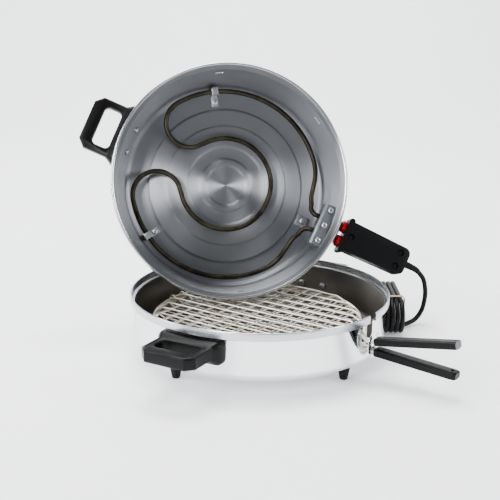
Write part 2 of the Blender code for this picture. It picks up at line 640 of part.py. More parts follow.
CLIP_HALF = 0.004
for k, side in ((1, 1), (2, -1)):
    line = add(f"clip_line_{k}", None, parent=inlet, turn=(0, 0, side * CLIP_ANGLE))
    rod_at = OUTER_NEAR + (OUTER_FAR - OUTER_NEAR) * (CLIP_ANGLE / UTURN_ANGLE)
    left, right = rod_at - ROD_R - 2 * GAP, rod_at + ROD_R + 2 * GAP
    over = -ROD_DEPTH + ROD_R + GAP
    crown = -LID_DEPTH + GAP
    strap = [(left - 0.013, crown), (left, crown), (left, over), (right, over),
             (right, -ROD_DEPTH - 0.001), (right + 0.001, -ROD_DEPTH - 0.001),
             (right + 0.001, over + 0.001), (left - 0.001, over + 0.001),
             (left - 0.001, crown + 0.001), (left - 0.013, crown + 0.001)]
    clip = add(f"element_clip_{k}", prism("clip", strap, -CLIP_HALF, CLIP_HALF, "Y"), ZINC, line)
    crown_screw(f"clip_screw_{k}", line, left - 0.0075, 0, crown + 0.001, clip)

# ---------------------------------------------------------------- connector
split = GAP / 2
face_z = -PIN_DEPTH + BODY_THICK / 2
outline = arc(FLANGE_START + 0.003, EAR_HALF - 0.003, 0.003, math.pi, turn_quarter, 3)
outline += arc(BODY_START - 0.003, EAR_HALF - 0.003, 0.003, turn_quarter, 0, 3)
outline += [(BODY_START, BODY_HALF_IN)]
outline += arc(BODY_END - BODY_ROUND, BODY_HALF_OUT - BODY_ROUND, BODY_ROUND, turn_quarter, 0, 4)
outline += [(x, -y) for x, y in reversed(outline)]
RELIEF_R = 0.0046
shells = []
for name, low, high in (("connector_front", -PIN_DEPTH + split, face_z),
                        ("connector_rear", face_z - BODY_THICK, -PIN_DEPTH - split)):
    shell = add(name, prism(name, outline, low, high), CHARCOAL, inlet)
    shells.append(shell)
tools = [("relief_seat", RELIEF_R + GAP, BODY_END - 0.010, 0.02, 0.0)]
tools += [(f"sleeve_seat_{k}", SLEEVE_R + GAP, SLEEVE_START - 0.002,
           SLEEVE_END + GAP - SLEEVE_START + 0.002, y)
          for k, y in ((1, -PIN_SPREAD), (2, PIN_SPREAD))]
for name, radius, start, length, y in tools:
    tool = add(name, cylinder(name, radius, length, 20), parent=inlet,
               at=(start, y, -PIN_DEPTH), turn=(0, math.pi / 2, 0))
    for shell in shells:
        boolean(shell, tool)
for k, side in ((1, -1), (2, 1)):
    sleeve = add(f"contact_sleeve_{k}", cylinder("sleeve", SLEEVE_R, SLEEVE_END - SLEEVE_START,
                                                 20), RED, inlet,
                 (SLEEVE_START, side * PIN_SPREAD, -PIN_DEPTH), (0, math.pi / 2, 0))
    boolean(sleeve, add(f"sleeve_bore_{k}", cylinder("bore", PIN_R + GAP,
                                                     PIN_END - SLEEVE_START + 0.003),
                        parent=inlet, at=(SLEEVE_START - 0.002, side * PIN_SPREAD, -PIN_DEPTH),
                        turn=(0, math.pi / 2, 0)))
HEAD_R, HEAD_H, SINK = 0.0036, 0.0020, 0.0035
for k, (x, y) in enumerate(((FLANGE_START + 0.0095, 0.0), (BODY_END - 0.0123, -0.009),
                            (BODY_END - 0.0123, 0.009)), 1):
    seat = face_z - SINK
    add(f"connector_screw_{k}", screw_mesh(HEAD_R, HEAD_H, 0.0015, 0.014), ZINC, inlet,
        (x, y, seat + GAP))
    boolean(shells[0], add(f"sink_{k}", cylinder("sink", HEAD_R + GAP, 0.01), parent=inlet,
                           at=(x, y, seat)))
    bore = add(f"connector_bore_{k}", cylinder("bore", 0.0015 + GAP, 0.020), parent=inlet,
               at=(x, y, seat - 0.0145))
    for shell in shells:
        boolean(shell, bore)


# ---------------------------------------------------------------- cord
def smooth(points, count):
    """A smooth line through the points, by Catmull-Rom, with the given number of points."""
    points = [Vector(p) for p in points]
    points = [points[0] * 2 - points[1]] + points + [points[-1] * 2 - points[-2]]
    fine = []
    for a, b, c, d in zip(points, points[1:], points[2:], points[3:]):
        for k in range(40):
            t = k / 40
            fine.append(0.5 * (2 * b + (c - a) * t + (2 * a - 5 * b + 4 * c - d) * t**2
                               + (3 * b - a - 3 * c + d) * t**3))
    fine.append(points[-2])
    travelled = [0.0]
    for a, b in zip(fine, fine[1:]):
        travelled.append(travelled[-1] + (b - a).length)
    result, k = [], 0
    for n in range(count):
        want = travelled[-1] * n / (count - 1)
        while k < len(fine) - 2 and travelled[k + 1] < want:
            k += 1
        share = (want - travelled[k]) / max(travelled[k + 1] - travelled[k], 1e-9)
        result.append(fine[k].lerp(fine[k + 1], share))
    return result


# The relief leaves the connector straight and droops over its last third. The cord goes on
# down in the same curve, turns under towards the hank and lies down on the table.
RELIEF_ROUTE = ((0.1731, 0.0937, 0.0661), (0.1817, 0.0936, 0.0620), (0.1917, 0.0936, 0.0573),
                (0.1964, 0.0936, 0.0546), (0.1999, 0.0936, 0.0518))
CORD_ROUTE = ((0.2004, 0.0936, 0.0513), (0.2071, 0.0936, 0.0419), (0.2101, 0.0936, 0.0283),
              (0.2101, 0.0936, 0.0165), (0.2067, 0.0916, 0.0020), (0.1980, 0.0862, -0.0086),
              (0.1861, 0.0789, -0.0122), (0.1821, 0.0758, -0.0122))
TAIL_ROUTE = ((0.1500, 0.1510, 0.0072), (0.1500, 0.1550, 0.0028), (0.1500, 0.1600, -0.0006),
              (0.1500, 0.1655, -0.0026), (0.1500, 0.1710, -0.0031))
taper = [1.0 - 0.24 * max(0.0, (k - 4) / 9) for k in range(14)]
add("strain_relief", wire("strain_relief", smooth(RELIEF_ROUTE, 14), RELIEF_R, 2, radii=taper),
    RUBBER)
add("cord_run", wire("cord_run", smooth(CORD_ROUTE, 14), CORD_R, 2), SHEATHING)
add("cord_tail", wire("cord_tail", smooth(TAIL_ROUTE, 5), CORD_R, 2), SHEATHING)

hank_low = TABLE_Z + GAP + BAND_THICK
fold_out = FOLD_R + CORD_R
fold_z = hank_low + fold_out
outline = arc(HANK_REAR - fold_out, fold_z, fold_out, -turn_quarter, turn_quarter, 14)
outline += arc(HANK_FRONT + fold_out, fold_z, fold_out, turn_quarter, 3 * turn_quarter, 14)
add("cord_hank", prism("cord_hank", outline, HANK_X0, HANK_X1, "X"), SHEATHING)

band_x1 = HANK_X1 + 0.0040      # the cord runs in under the band on this side
band = add("hank_band", prism("hank_band", rounded(
    HANK_X0 - GAP - BAND_THICK, band_x1 + BAND_THICK, TABLE_Z,
    hank_low + 2 * fold_out + GAP + BAND_THICK, 0.0016), BAND_Y - BAND_WIDE / 2,
    BAND_Y + BAND_WIDE / 2, "Y"), BEIGE)
boolean(band, add("band_inside", prism("band_inside", rounded(
    HANK_X0 - GAP, band_x1, hank_low - GAP, hank_low + 2 * fold_out + GAP, 0.0008), 0, 0.1,
    "Y")))

PLUG_LENGTH, PLUG_R, PLUG_PIN_R, PLUG_PIN_HALF = 0.040, 0.0128, 0.0024, 0.0085
plug_at = (TAIL_ROUTE[-1][0], TAIL_ROUTE[-1][1] + GAP, TABLE_Z + PLUG_R)
plug = add("plug_body", lathe("plug_body", [
    (0, 0), (0.0046, 0), (0.0062, 0.012), (PLUG_R - 0.003, 0.018), (PLUG_R, 0.026),
    (PLUG_R, PLUG_LENGTH - 0.001), (PLUG_R - 0.001, PLUG_LENGTH), (0, PLUG_LENGTH)], 24),
    RUBBER, at=plug_at, turn=(-math.pi / 2, 0, 0))
for k, side in ((1, -1), (2, 1)):
    place = (plug_at[0] + side * PLUG_PIN_HALF, plug_at[1] + PLUG_LENGTH - 0.006, plug_at[2])
    add(f"plug_pin_{k}", lathe("plug_pin", [
        (0, 0), (PLUG_PIN_R, 0), (PLUG_PIN_R, 0.024), (PLUG_PIN_R * 0.6, 0.025), (0, 0.025)],
        16), BRASS, at=place, turn=(-math.pi / 2, 0, 0))
    boolean(plug, add(f"plug_bore_{k}", cylinder("bore", PLUG_PIN_R + GAP, 0.020),
                      at=(place[0], place[1] - GAP, place[2]), turn=(-math.pi / 2, 0, 0)))
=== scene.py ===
"""Round tabletop electric grill: spun pan, hinged wire basket, loose heating lid, cord."""
import math

import bmesh
import bpy
from mathutils import Matrix, Vector


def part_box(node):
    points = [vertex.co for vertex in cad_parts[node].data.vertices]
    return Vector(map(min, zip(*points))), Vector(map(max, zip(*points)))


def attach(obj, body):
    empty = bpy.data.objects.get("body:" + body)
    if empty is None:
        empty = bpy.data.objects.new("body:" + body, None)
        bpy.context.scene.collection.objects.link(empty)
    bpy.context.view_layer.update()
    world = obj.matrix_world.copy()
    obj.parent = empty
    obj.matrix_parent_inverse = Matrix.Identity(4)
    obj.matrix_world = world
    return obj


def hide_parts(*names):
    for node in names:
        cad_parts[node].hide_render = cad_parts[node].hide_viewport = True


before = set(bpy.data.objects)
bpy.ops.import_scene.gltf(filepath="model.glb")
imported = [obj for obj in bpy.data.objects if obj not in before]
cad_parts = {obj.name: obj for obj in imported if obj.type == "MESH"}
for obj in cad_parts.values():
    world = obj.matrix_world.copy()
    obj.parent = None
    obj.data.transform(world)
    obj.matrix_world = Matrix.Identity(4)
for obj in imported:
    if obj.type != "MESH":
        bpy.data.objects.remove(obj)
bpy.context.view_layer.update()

# ---------------------------------------------------------------------------
# Studio. A pale seamless sweep under and behind the grill, a wide soft light
# from the upper left, a weaker one from the right and grey room all round, so
# that the bright metal has something light and something dark to mirror.
QUARTER = math.pi / 2
TABLE_Z = -0.016


def linear(colour):
    """sRGB hex to a linear RGBA."""
    parts = [int(colour[k:k + 2], 16) / 255 for k in (0, 2, 4)]
    return (*[c / 12.92 if c <= 0.04045 else ((c + 0.055) / 1.055) ** 2.4 for c in parts], 1.0)


def add_node(tree, kind, inputs=None, **settings):
    """Add a node; inputs maps a socket to a value or to another node's output."""
    made = tree.nodes.new(kind)
    for name, value in settings.items():
        setattr(made, name, value)
    for name, value in (inputs or {}).items():
        if isinstance(value, bpy.types.NodeSocket):
            tree.links.new(value, made.inputs[name])
        else:
            made.inputs[name].default_value = value
    return made


def new_material(name, colour, roughness, metallic=0.0, **sockets):
    """A Principled material; further sockets are named with underscores."""
    made = bpy.data.materials.new(name)
    made.use_nodes = True
    shader = made.node_tree.nodes["Principled BSDF"]
    shader.inputs["Base Color"].default_value = linear(colour)
    shader.inputs["Roughness"].default_value = roughness
    shader.inputs["Metallic"].default_value = metallic
    for name, value in sockets.items():
        shader.inputs[name.replace("_", " ")].default_value = value
    return made, made.node_tree, shader


def link_object(name, data, materials=(), place=None):
    made = bpy.data.objects.new(name, data)
    bpy.context.scene.collection.objects.link(made)
    if place is not None:
        made.matrix_world = place
    if materials and not data.materials:
        for mat in materials:
            data.materials.append(mat)
    return made


CAMERA_AT, LOOK_DOWN, ROLL = (-0.0118, -1.0885, 0.4033), 15.37, 0.46     # metres, degrees
view = (Matrix.Rotation(math.radians(90 - LOOK_DOWN), 4, "X")
        @ Matrix.Rotation(math.radians(ROLL), 4, "Z"))
camera_data = bpy.data.cameras.new("studio_camera")
camera_data.lens = 70.56
camera_data.clip_start = 0.05
camera = link_object("studio_camera", camera_data, place=Matrix.Translation(CAMERA_AT) @ view)
bpy.context.scene.camera = camera
bpy.context.scene.view_settings.look = "AgX - Medium High Contrast"

sweep = bmesh.new()
WALL_Y, SWEEP_R, HALF_WIDTH = 1.6, 0.9, 6.0
section = [(-5.0, TABLE_Z)]
section += [(WALL_Y + SWEEP_R * math.sin(t), TABLE_Z + SWEEP_R * (1 - math.cos(t)))
            for t in (QUARTER * k / 24 for k in range(25))]
section += [(WALL_Y + SWEEP_R, 5.0)]
rows = [[sweep.verts.new((x, y, z)) for y, z in section] for x in (-HALF_WIDTH, HALF_WIDTH)]
for k in range(len(section) - 1):
    sweep.faces.new((rows[0][k], rows[1][k], rows[1][k + 1], rows[0][k + 1]))
sweep_mesh = bpy.data.meshes.new("studio_sweep")
sweep.to_mesh(sweep_mesh)
sweep.free()
sweep_mesh.shade_smooth()
paper, _, shader = new_material("matt_background_paper", "F6F7F8", 0.8)
shader.inputs["Emission Color"].default_value = linear("F4F7FB")
shader.inputs["Emission Strength"].default_value = 0.26
link_object("studio_sweep", sweep_mesh, [paper])

room = bpy.data.worlds.new("grey_studio_room")
bpy.context.scene.world = room
room.use_nodes = True
ROOM_TONE, ROOM_STRENGTH = "E4E7EB", 0.34
room.node_tree.nodes["Background"].inputs["Color"].default_value = linear(ROOM_TONE)
room.node_tree.nodes["Background"].inputs["Strength"].default_value = ROOM_STRENGTH

for name, where, target, size, power in (
        ("softbox_left", (-1.15, -1.75, 1.05), (0.0, 0.1, 0.15), (0.45, 1.0), 30.0),
        ("softbox_right", (2.0, -0.75, 1.0), (0.0, 0.1, 0.15), (0.5, 1.1), 20.0),
        ("side_light", (-2.1, -0.1, 1.0), (0.0, 0.1, 0.1), (0.8, 1.2), 26.0),
        ("overhead", (-0.3, 0.3, 2.3), (0.0, 0.1, 0.0), (1.8, 1.2), 42.0),
        ("background_light", (0.0, 0.9, 2.6), (0.0, 2.2, 0.6), (3.0, 0.8), 52.0)):
    lamp = bpy.data.lights.new(name, "AREA")
    lamp.shape = "RECTANGLE"
    lamp.size, lamp.size_y = size
    lamp.energy = power
    aim = (Vector(target) - Vector(where)).to_track_quat("-Z", "Y").to_matrix().to_4x4()
    link_object(name, lamp, place=Matrix.Translation(where) @ aim)

# ---------------------------------------------------------------------------
# Cord. A round black PVC mains lead, 5.9 mm across. It droops out of the
# connector's relief, turns under, and is folded in five long loops that a
# beige rubber band holds together. The plug lies behind them.
CORD_R = 0.00295
RUN = ((0.2004, 0.0936, 0.0513), (0.2071, 0.0936, 0.0419), (0.2101, 0.0936, 0.0283),
       (0.2101, 0.0936, 0.0165), (0.2067, 0.0916, 0.0020), (0.1980, 0.0862, -0.0086),
       (0.1861, 0.0789, -0.0122), (0.1782, 0.0712, -0.0119), (0.1752, 0.0640, -0.0117))
TAIL = ((0.1501, 0.1265, 0.0253), (0.1501, 0.1368, 0.0230), (0.1501, 0.1487, 0.0111),
        (0.1501, 0.1550, 0.0028), (0.1501, 0.1600, -0.0006), (0.1501, 0.1655, -0.0026),
        (0.1501, 0.1708, -0.0031))
LAYERS, LAYER_X, LAYER_PITCH = 5, 0.1742, 0.00603
FOLD_R, FOLD_Z, FRONT_Y, REAR_Y = 0.0185, 0.0068, 0.0555, 0.1265


def smooth_line(points, gap):
    """A smooth line through the points (Catmull-Rom), read off every gap metres."""
    points = [Vector(p) for p in points]
    points = [points[0] * 2 - points[1]] + points + [points[-1] * 2 - points[-2]]
    fine = []
    for a, b, c, d in zip(points, points[1:], points[2:], points[3:]):
        steps = max(4, int((c - b).length / 0.0004))
        for k in range(steps):
            t = k / steps
            fine.append(0.5 * (2 * b + (c - a) * t + (2 * a - 5 * b + 4 * c - d) * t**2
                               + (3 * b - a - 3 * c + d) * t**3))
    fine.append(points[-2])
    travelled = [0.0]
    for a, b in zip(fine, fine[1:]):
        travelled.append(travelled[-1] + (b - a).length)
    count = max(2, round(travelled[-1] / gap))
    result, k = [], 0
    for n in range(count + 1):
        want = travelled[-1] * n / count
        while k < len(fine) - 2 and travelled[k + 1] < want:
            k += 1
        share = (want - travelled[k]) / max(travelled[k + 1] - travelled[k], 1e-9)
        result.append(fine[k].lerp(fine[k + 1], share))
    return result, travelled[-1]


def round_wire(name, lines, radius, resolution=4, closed=(), taper=None):
    """A curve of round wires with filled ends, one spline for each line of points."""
    curve = bpy.data.curves.new(name, "CURVE")
    curve.dimensions = "3D"
    curve.bevel_depth = radius
    curve.bevel_resolution = resolution
    curve.use_fill_caps = True
    for n, line in enumerate(lines):
        spline = curve.splines.new("POLY")
        spline.points.add(len(line) - 1)
        for k, point in enumerate(line):
            spline.points[k].co = (*point, 1.0)
            spline.points[k].radius = taper[k] if taper else 1.0
        spline.use_cyclic_u = n in closed
        spline.use_smooth = True
    return curve


def surface_marks(tree, shader, scale, detail=2.0, gloss=None, relief=None, tones=None,
                  tone_ends=(0.0, 1.0), fineness=0.5):
    """Mottle a surface, scale being the marks in a metre. gloss is the least and the most
    roughness, relief the bump's strength and depth, tones the two colours it wanders between."""
    place = add_node(tree, "ShaderNodeTexCoord")
    marks = add_node(tree, "ShaderNodeTexNoise", {"Vector": place.outputs["Object"], "Scale": scale,
                                                  "Detail": detail, "Roughness": fineness})
    if gloss:
        haze = add_node(tree, "ShaderNodeMapRange", {"Value": marks.outputs["Fac"],
                                                     "To Min": gloss[0], "To Max": gloss[1]})
        tree.links.new(haze.outputs["Result"], shader.inputs["Roughness"])
    if relief:
        bump = add_node(tree, "ShaderNodeBump", {"Height": marks.outputs["Fac"],
                                                 "Strength": relief[0], "Distance": relief[1]})
        tree.links.new(bump.outputs["Normal"], shader.inputs["Normal"])
    if tones:
        tone = add_node(tree, "ShaderNodeValToRGB", {"Fac": marks.outputs["Fac"]})
        for stop, position, colour in zip(tone.color_ramp.elements, tone_ends, tones):
            stop.position, stop.color = position, linear(colour)
        tree.links.new(tone.outputs["Color"], shader.inputs["Base Color"])


loops = []
for layer in range(LAYERS):
    x = LAYER_X - layer * LAYER_PITCH
    loops += [(x, FRONT_Y - FOLD_R * math.sin(t), FOLD_Z - FOLD_R * math.cos(t))
              for t in (math.pi * k / 12 for k in range(13))]
    loops += [(x, FRONT_Y + (REAR_Y - FRONT_Y) * k / 5, FOLD_Z + FOLD_R) for k in range(1, 5)]
    if layer == LAYERS - 1:
        break
    loops += [(x, REAR_Y + FOLD_R * math.sin(t), FOLD_Z + FOLD_R * math.cos(t))
              for t in (math.pi * k / 12 for k in range(13))]
    for k in range(1, 8):
        share = min(1.0, k / 5)
        share = share * share * (3 - 2 * share)
        loops.append((x - LAYER_PITCH * share, REAR_Y + (FRONT_Y - REAR_Y) * k / 8,
                      FOLD_Z - FOLD_R))

cord_line, cord_length = smooth_line(list(RUN) + loops + list(TAIL), 0.0035)
lead_pvc, tree, shader = new_material("pvc_mains_lead", "0B0B0C", 0.45, Specular_IOR_Level=0.3)
# a soft extruded skin: a faint orange peel about a millimetre across
surface_marks(tree, shader, 900.0, relief=(0.12, 0.0002))
cord = link_object("mains_cord", round_wire("mains_cord", [cord_line], CORD_R), [lead_pvc])
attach(cord, "connector")
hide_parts("cord_run", "cord_hank", "cord_tail")

# ---------------------------------------------------------------------------
# Rubber band. A flat natural-rubber ring, slightly waisted where it is
# stretched round the folded cord, dull and a little translucent.


def finish_mesh(bm, name, sharp_degrees=40):
    bmesh.ops.recalc_face_normals(bm, faces=bm.faces)
    mesh = bpy.data.meshes.new(name)
    bm.to_mesh(mesh)
    bm.free()
    mesh.shade_smooth()
    mesh.set_sharp_from_angle(angle=math.radians(sharp_degrees))
    return mesh


def loft(name, rings, capped=False, closed=True, sharp_degrees=40):
    """Skin over rings of points. closed joins the last ring to the first."""
    bm = bmesh.new()
    rows = [[bm.verts.new(p) for p in ring] for ring in rings]
    pairs = list(zip(rows, rows[1:]))
    if closed and not capped:
        pairs.append((rows[-1], rows[0]))
    for here, there in pairs:
        for k in range(len(here)):
            bm.faces.new((here[k - 1], here[k], there[k], there[k - 1]))
    if capped:
        bm.faces.new(rows[0])
        bm.faces.new(rows[-1])
    return finish_mesh(bm, name, sharp_degrees)


def round_corners(u0, u1, v0, v1, radius, steps=6):
    """Outline of a rectangle with round corners, anticlockwise."""
    corners = ((u1 - radius, v1 - radius, 0), (u0 + radius, v1 - radius, 1),
               (u0 + radius, v0 + radius, 2), (u1 - radius, v0 + radius, 3))
    return [(u + radius * math.cos(QUARTER * (q + k / steps)),
             v + radius * math.sin(QUARTER * (q + k / steps)))
            for u, v, q in corners for k in range(steps + 1)]


band_low, band_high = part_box("hank_band")
band_rings = []
BAND_SECTION = ((0.0, -0.003), (0.0, 0.003), (0.0009, 0.0026), (0.0009, -0.0026))
for inset, along in BAND_SECTION:
    ring = round_corners(band_low[0] + inset, band_high[0] - inset - 0.0026,
                         band_low[2] + inset, band_high[2] - inset, 0.004 - inset, 5)
    band_rings.append([(u, (band_low[1] + band_high[1]) / 2 + along, v) for u, v in ring])
natural_rubber, tree, shader = new_material("natural_rubber_band", "B9A27C", 0.62, IOR=1.52)
# cloudy streaks a few millimetres across
surface_marks(tree, shader, 260.0, 3.0, tones=("A38C66", "CDB894"))
band = link_object("hank_rubber_band", loft("hank_rubber_band", band_rings), [natural_rubber])
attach(band, "connector")
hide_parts("hank_band")

# ---------------------------------------------------------------------------
# Mains plug. A moulded PVC body with a ribbed tail and two round brass pins.
WHEEL = 128                     # facets round a turned piece


def turned(name, profile, facets=WHEEL, sharp_degrees=40, sides=None):
    """Turn a profile of (radius, height) about Z. sides gives a material for each step."""
    bm = bmesh.new()
    rings = []
    for radius, height in profile:
        if radius < 1e-6:
            rings.append([bm.verts.new((0, 0, height))] * facets)
        else:
            angles = (2 * math.pi * k / facets for k in range(facets))
            rings.append([bm.verts.new((radius * math.cos(a), radius * math.sin(a), height))
                          for a in angles])
    for n, (here, there) in enumerate(zip(rings, rings[1:] + rings[:1])):
        for k in range(facets):
            corners = [here[k], here[k - 1], there[k - 1], there[k]]
            corners = [v for i, v in enumerate(corners) if v not in corners[:i]]
            if len(corners) > 2:
                face = bm.faces.new(corners)
                if sides:
                    face.material_index = sides[n]
    return finish_mesh(bm, name, sharp_degrees)


plug_low, plug_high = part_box("plug_body")
plug_x, plug_z = (plug_low[0] + plug_high[0]) / 2, (plug_low[2] + plug_high[2]) / 2
plug_profile = [(0.0, 0.0), (0.0040, 0.0)]
for rib in range(5):
    start = 0.001 + rib * 0.0026
    plug_profile += [(0.0044 + rib * 0.0003, start), (0.0044 + rib * 0.0003, start + 0.0014),
                     (0.0037 + rib * 0.0003, start + 0.0017), (0.0037 + rib * 0.0003,
                                                               start + 0.0023)]
plug_profile += [(0.0066, 0.0142), (0.0096, 0.0180), (0.0118, 0.0222), (0.0125, 0.0260),
                 (0.0125, 0.0380), (0.0119, 0.0394), (0.0105, 0.0400), (0.0, 0.0400)]
moulded_pvc, _, _ = new_material("moulded_pvc", "0B0B0C", 0.5, Specular_IOR_Level=0.3)
plug = link_object("mains_plug", turned("mains_plug", plug_profile, 48), [moulded_pvc],
                   Matrix.Translation((plug_x, plug_low[1], plug_z))
                   @ Matrix.Rotation(-QUARTER, 4, "X"))
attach(plug, "connector")
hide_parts("plug_body")
turned_brass, tree, shader = new_material("turned_brass", "C9A765", 0.28, 1.0)
# dull spots about 3 mm across, where it has tarnished
surface_marks(tree, shader, 300.0, gloss=(0.2, 0.42))
for name in ("plug_pin_1", "plug_pin_2", "contact_pin_1", "contact_pin_2"):
    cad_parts[name].data.materials.clear()
    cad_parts[name].data.materials.append(turned_brass)

# ---------------------------------------------------------------------------
# Pan. Spun from one disc of 1.5 mm aluminium: a flat floor, a round corner, a
# wall with a rebate for the lid, and a rim band folded outwards. Mirror
# polished outside, left with its turning marks inside. The slot is sawn.


def spun_aluminium(name, colour, rough_low, rough_high, ring_mm, anisotropy, grime=0.0):
    """Aluminium with turning marks: rings of slightly different roughness, ring_mm apart,
    which draw the light out across them. Fine marks are drawn coarser so that they show."""
    made, tree, shader = new_material(name, colour, rough_low, 1.0, Anisotropic=anisotropy,
                                      Anisotropic_Rotation=0.25)
    place = add_node(tree, "ShaderNodeTexCoord")
    flat = add_node(tree, "ShaderNodeVectorMath", {0: place.outputs["Object"],
                                                   1: (1.0, 1.0, 0.0)}, operation="MULTIPLY")
    radius = add_node(tree, "ShaderNodeVectorMath", {0: flat.outputs["Vector"]},
                      operation="LENGTH")
    height = add_node(tree, "ShaderNodeSeparateXYZ", {"Vector": place.outputs["Object"]})
    rings_at = add_node(tree, "ShaderNodeCombineXYZ", {"X": radius.outputs["Value"],
                                                       "Z": height.outputs["Z"]})
    rings = add_node(tree, "ShaderNodeTexNoise", {"Vector": rings_at.outputs["Vector"],
                                                  "Scale": 1000.0 / ring_mm, "Detail": 3.0,
                                                  "Roughness": 0.7})
    rough = add_node(tree, "ShaderNodeMapRange", {"Value": rings.outputs["Fac"],
                                                  "From Min": 0.3, "From Max": 0.7,
                                                  "To Min": rough_low, "To Max": rough_high})
    tree.links.new(rough.outputs["Result"], shader.inputs["Roughness"])
    bump = add_node(tree, "ShaderNodeBump", {"Height": rings.outputs["Fac"], "Strength": 0.25,
                                             "Distance": 0.00008})
    tree.links.new(bump.outputs["Normal"], shader.inputs["Normal"])
    around = add_node(tree, "ShaderNodeTangent", direction_type="RADIAL", axis="Z")
    tree.links.new(around.outputs["Tangent"], shader.inputs["Tangent"])
    if grime:
        cloud = add_node(tree, "ShaderNodeTexNoise", {"Vector": place.outputs["Object"],
                                                      "Scale": 22.0, "Detail": 4.0})
        tint = add_node(tree, "ShaderNodeMix", {"Factor": cloud.outputs["Fac"],
                                                "A": linear(colour)}, data_type="RGBA")
        tint.inputs["B"].default_value = [c * (1 - grime) for c in linear(colour)[:3]] + [1.0]
        tree.links.new(tint.outputs["Result"], shader.inputs["Base Color"])
    return made


def arc(cu, cv, radius, start, end, steps):
    return [(cu + radius * math.cos(start + (end - start) * k / steps),
             cv + radius * math.sin(start + (end - start) * k / steps))
            for k in range(steps + 1)]


def carve(obj, *steps):
    """Apply Booleans in turn: (tool, "DIFFERENCE" or "UNION"). The tools are used up."""
    for tool, operation in steps:
        cut = obj.modifiers.new("cut", "BOOLEAN")
        cut.operation, cut.solver, cut.object = operation, "EXACT", tool
    bpy.context.view_layer.update()
    evaluated = obj.evaluated_get(bpy.context.evaluated_depsgraph_get())
    mesh = bpy.data.meshes.new_from_object(evaluated)
    obj.modifiers.clear()
    obj.data = mesh
    for tool in {tool.name: tool for tool, _ in steps}.values():
        bpy.data.objects.remove(tool)
    mesh.shade_smooth()
    mesh.set_sharp_from_angle(angle=math.radians(40))
    return obj


def slab(name, outline, low, high, axis="Z"):
    """An outline of (u, v) points extruded along an axis."""
    put = {"X": lambda u, v, w: (w, u, v), "Y": lambda u, v, w: (u, w, v),
           "Z": lambda u, v, w: (u, v, w)}[axis]
    return loft(name, [[put(u, v, w) for u, v in outline] for w in (low, high)], capped=True)


def cutter(outline, low, high, axis, line):
    """A step for carve: an outline extruded from low to high and taken away."""
    return link_object("tool", slab("tool", outline, low, high, axis), place=line), "DIFFERENCE"


def circle(u, v, radius, steps):
    return [(u + radius * math.cos(t), v + radius * math.sin(t))
            for t in (2 * math.pi * k / steps for k in range(steps))]


def drill(radius, start, end, y, z, line):
    """A step for carve: a hole along X of the given line."""
    return cutter(circle(y, z, radius, 24), start, end, "X", line)


WALL_R, SHEET, PAN_HEIGHT = 0.146, 0.0015, 0.057
RIM_R, BAND_IN, BAND_LOW, CORNER = 0.150, 0.148, 0.048, 0.010
WALL_IN = WALL_R - SHEET
outside = arc(BAND_IN + 0.0010, PAN_HEIGHT - 0.0010, 0.0010, math.pi, 0, 8)
outside += [(RIM_R, BAND_LOW + 0.0008)]
outside += arc(RIM_R - 0.0008, BAND_LOW + 0.0008, 0.0008, 0, -QUARTER, 4)
outside += [(WALL_R + 0.0006, BAND_LOW - 0.0002), (WALL_R, BAND_LOW - 0.0012)]
outside += arc(WALL_R - CORNER, CORNER, CORNER, 0, -QUARTER, 12)
outside += [(0.060, 0.0), (0.0, 0.0)]
inside = [(0.0, SHEET), (0.030, SHEET), (0.060, SHEET), (0.110, SHEET)]
inside += arc(WALL_R - CORNER, CORNER, CORNER - SHEET, -QUARTER, 0, 10)
inside += [(WALL_IN, BAND_LOW - 0.0006), (WALL_IN + 0.0005, BAND_LOW),
           (BAND_IN - 0.0006, BAND_LOW + 0.0004), (BAND_IN, BAND_LOW + 0.0010)]
polished = spun_aluminium("polished_aluminium", "F4F5F6", 0.06, 0.14, 1.6, 0.3)
turned_inside = spun_aluminium("turned_aluminium", "98948F", 0.32, 0.46, 1.2, 0.6, 0.25)
satin_rim = spun_aluminium("satin_rim_aluminium", "C9CCD0", 0.22, 0.34, 1.0, 0.4)
SPUN_FACETS = 192
RIM_OUT, RIM_IN = 14, 3         # steps of the profile that the satin rim takes up
finishes = [2] * RIM_OUT + [0] * (len(outside) - RIM_OUT) + [1] * (len(inside) - RIM_IN)
pan = link_object("pan_spun_shell", turned(
    "pan_spun_shell", outside + inside, SPUN_FACETS, 32, finishes + [2] * RIM_IN),
    [polished, turned_inside, satin_rim])
SLOT = Matrix.Rotation(math.radians(-35.5), 4, "Z")
steps = [cutter(round_corners(-0.006, 0.006, 0.0144, 0.08, 0.0012), 0.130, 0.165, "X", SLOT)]
handle_lines = {"pan_handle_front": Matrix.Rotation(math.radians(-119.8), 4, "Z"),
                "pan_handle_rear": Matrix.Rotation(math.radians(61.0), 4, "Z")}
SCREW_SPREAD, SCREW_DROP, HANDLE_TOP, SCREW_HOLE = 0.0146, 0.017, 0.042, 0.0022
for line in handle_lines.values():
    steps += [drill(SCREW_HOLE, 0.135, 0.155, side * SCREW_SPREAD, HANDLE_TOP - SCREW_DROP, line)
              for side in (-1, 1)]
carve(pan, *steps)
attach(pan, "pan")
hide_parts("pan_shell")

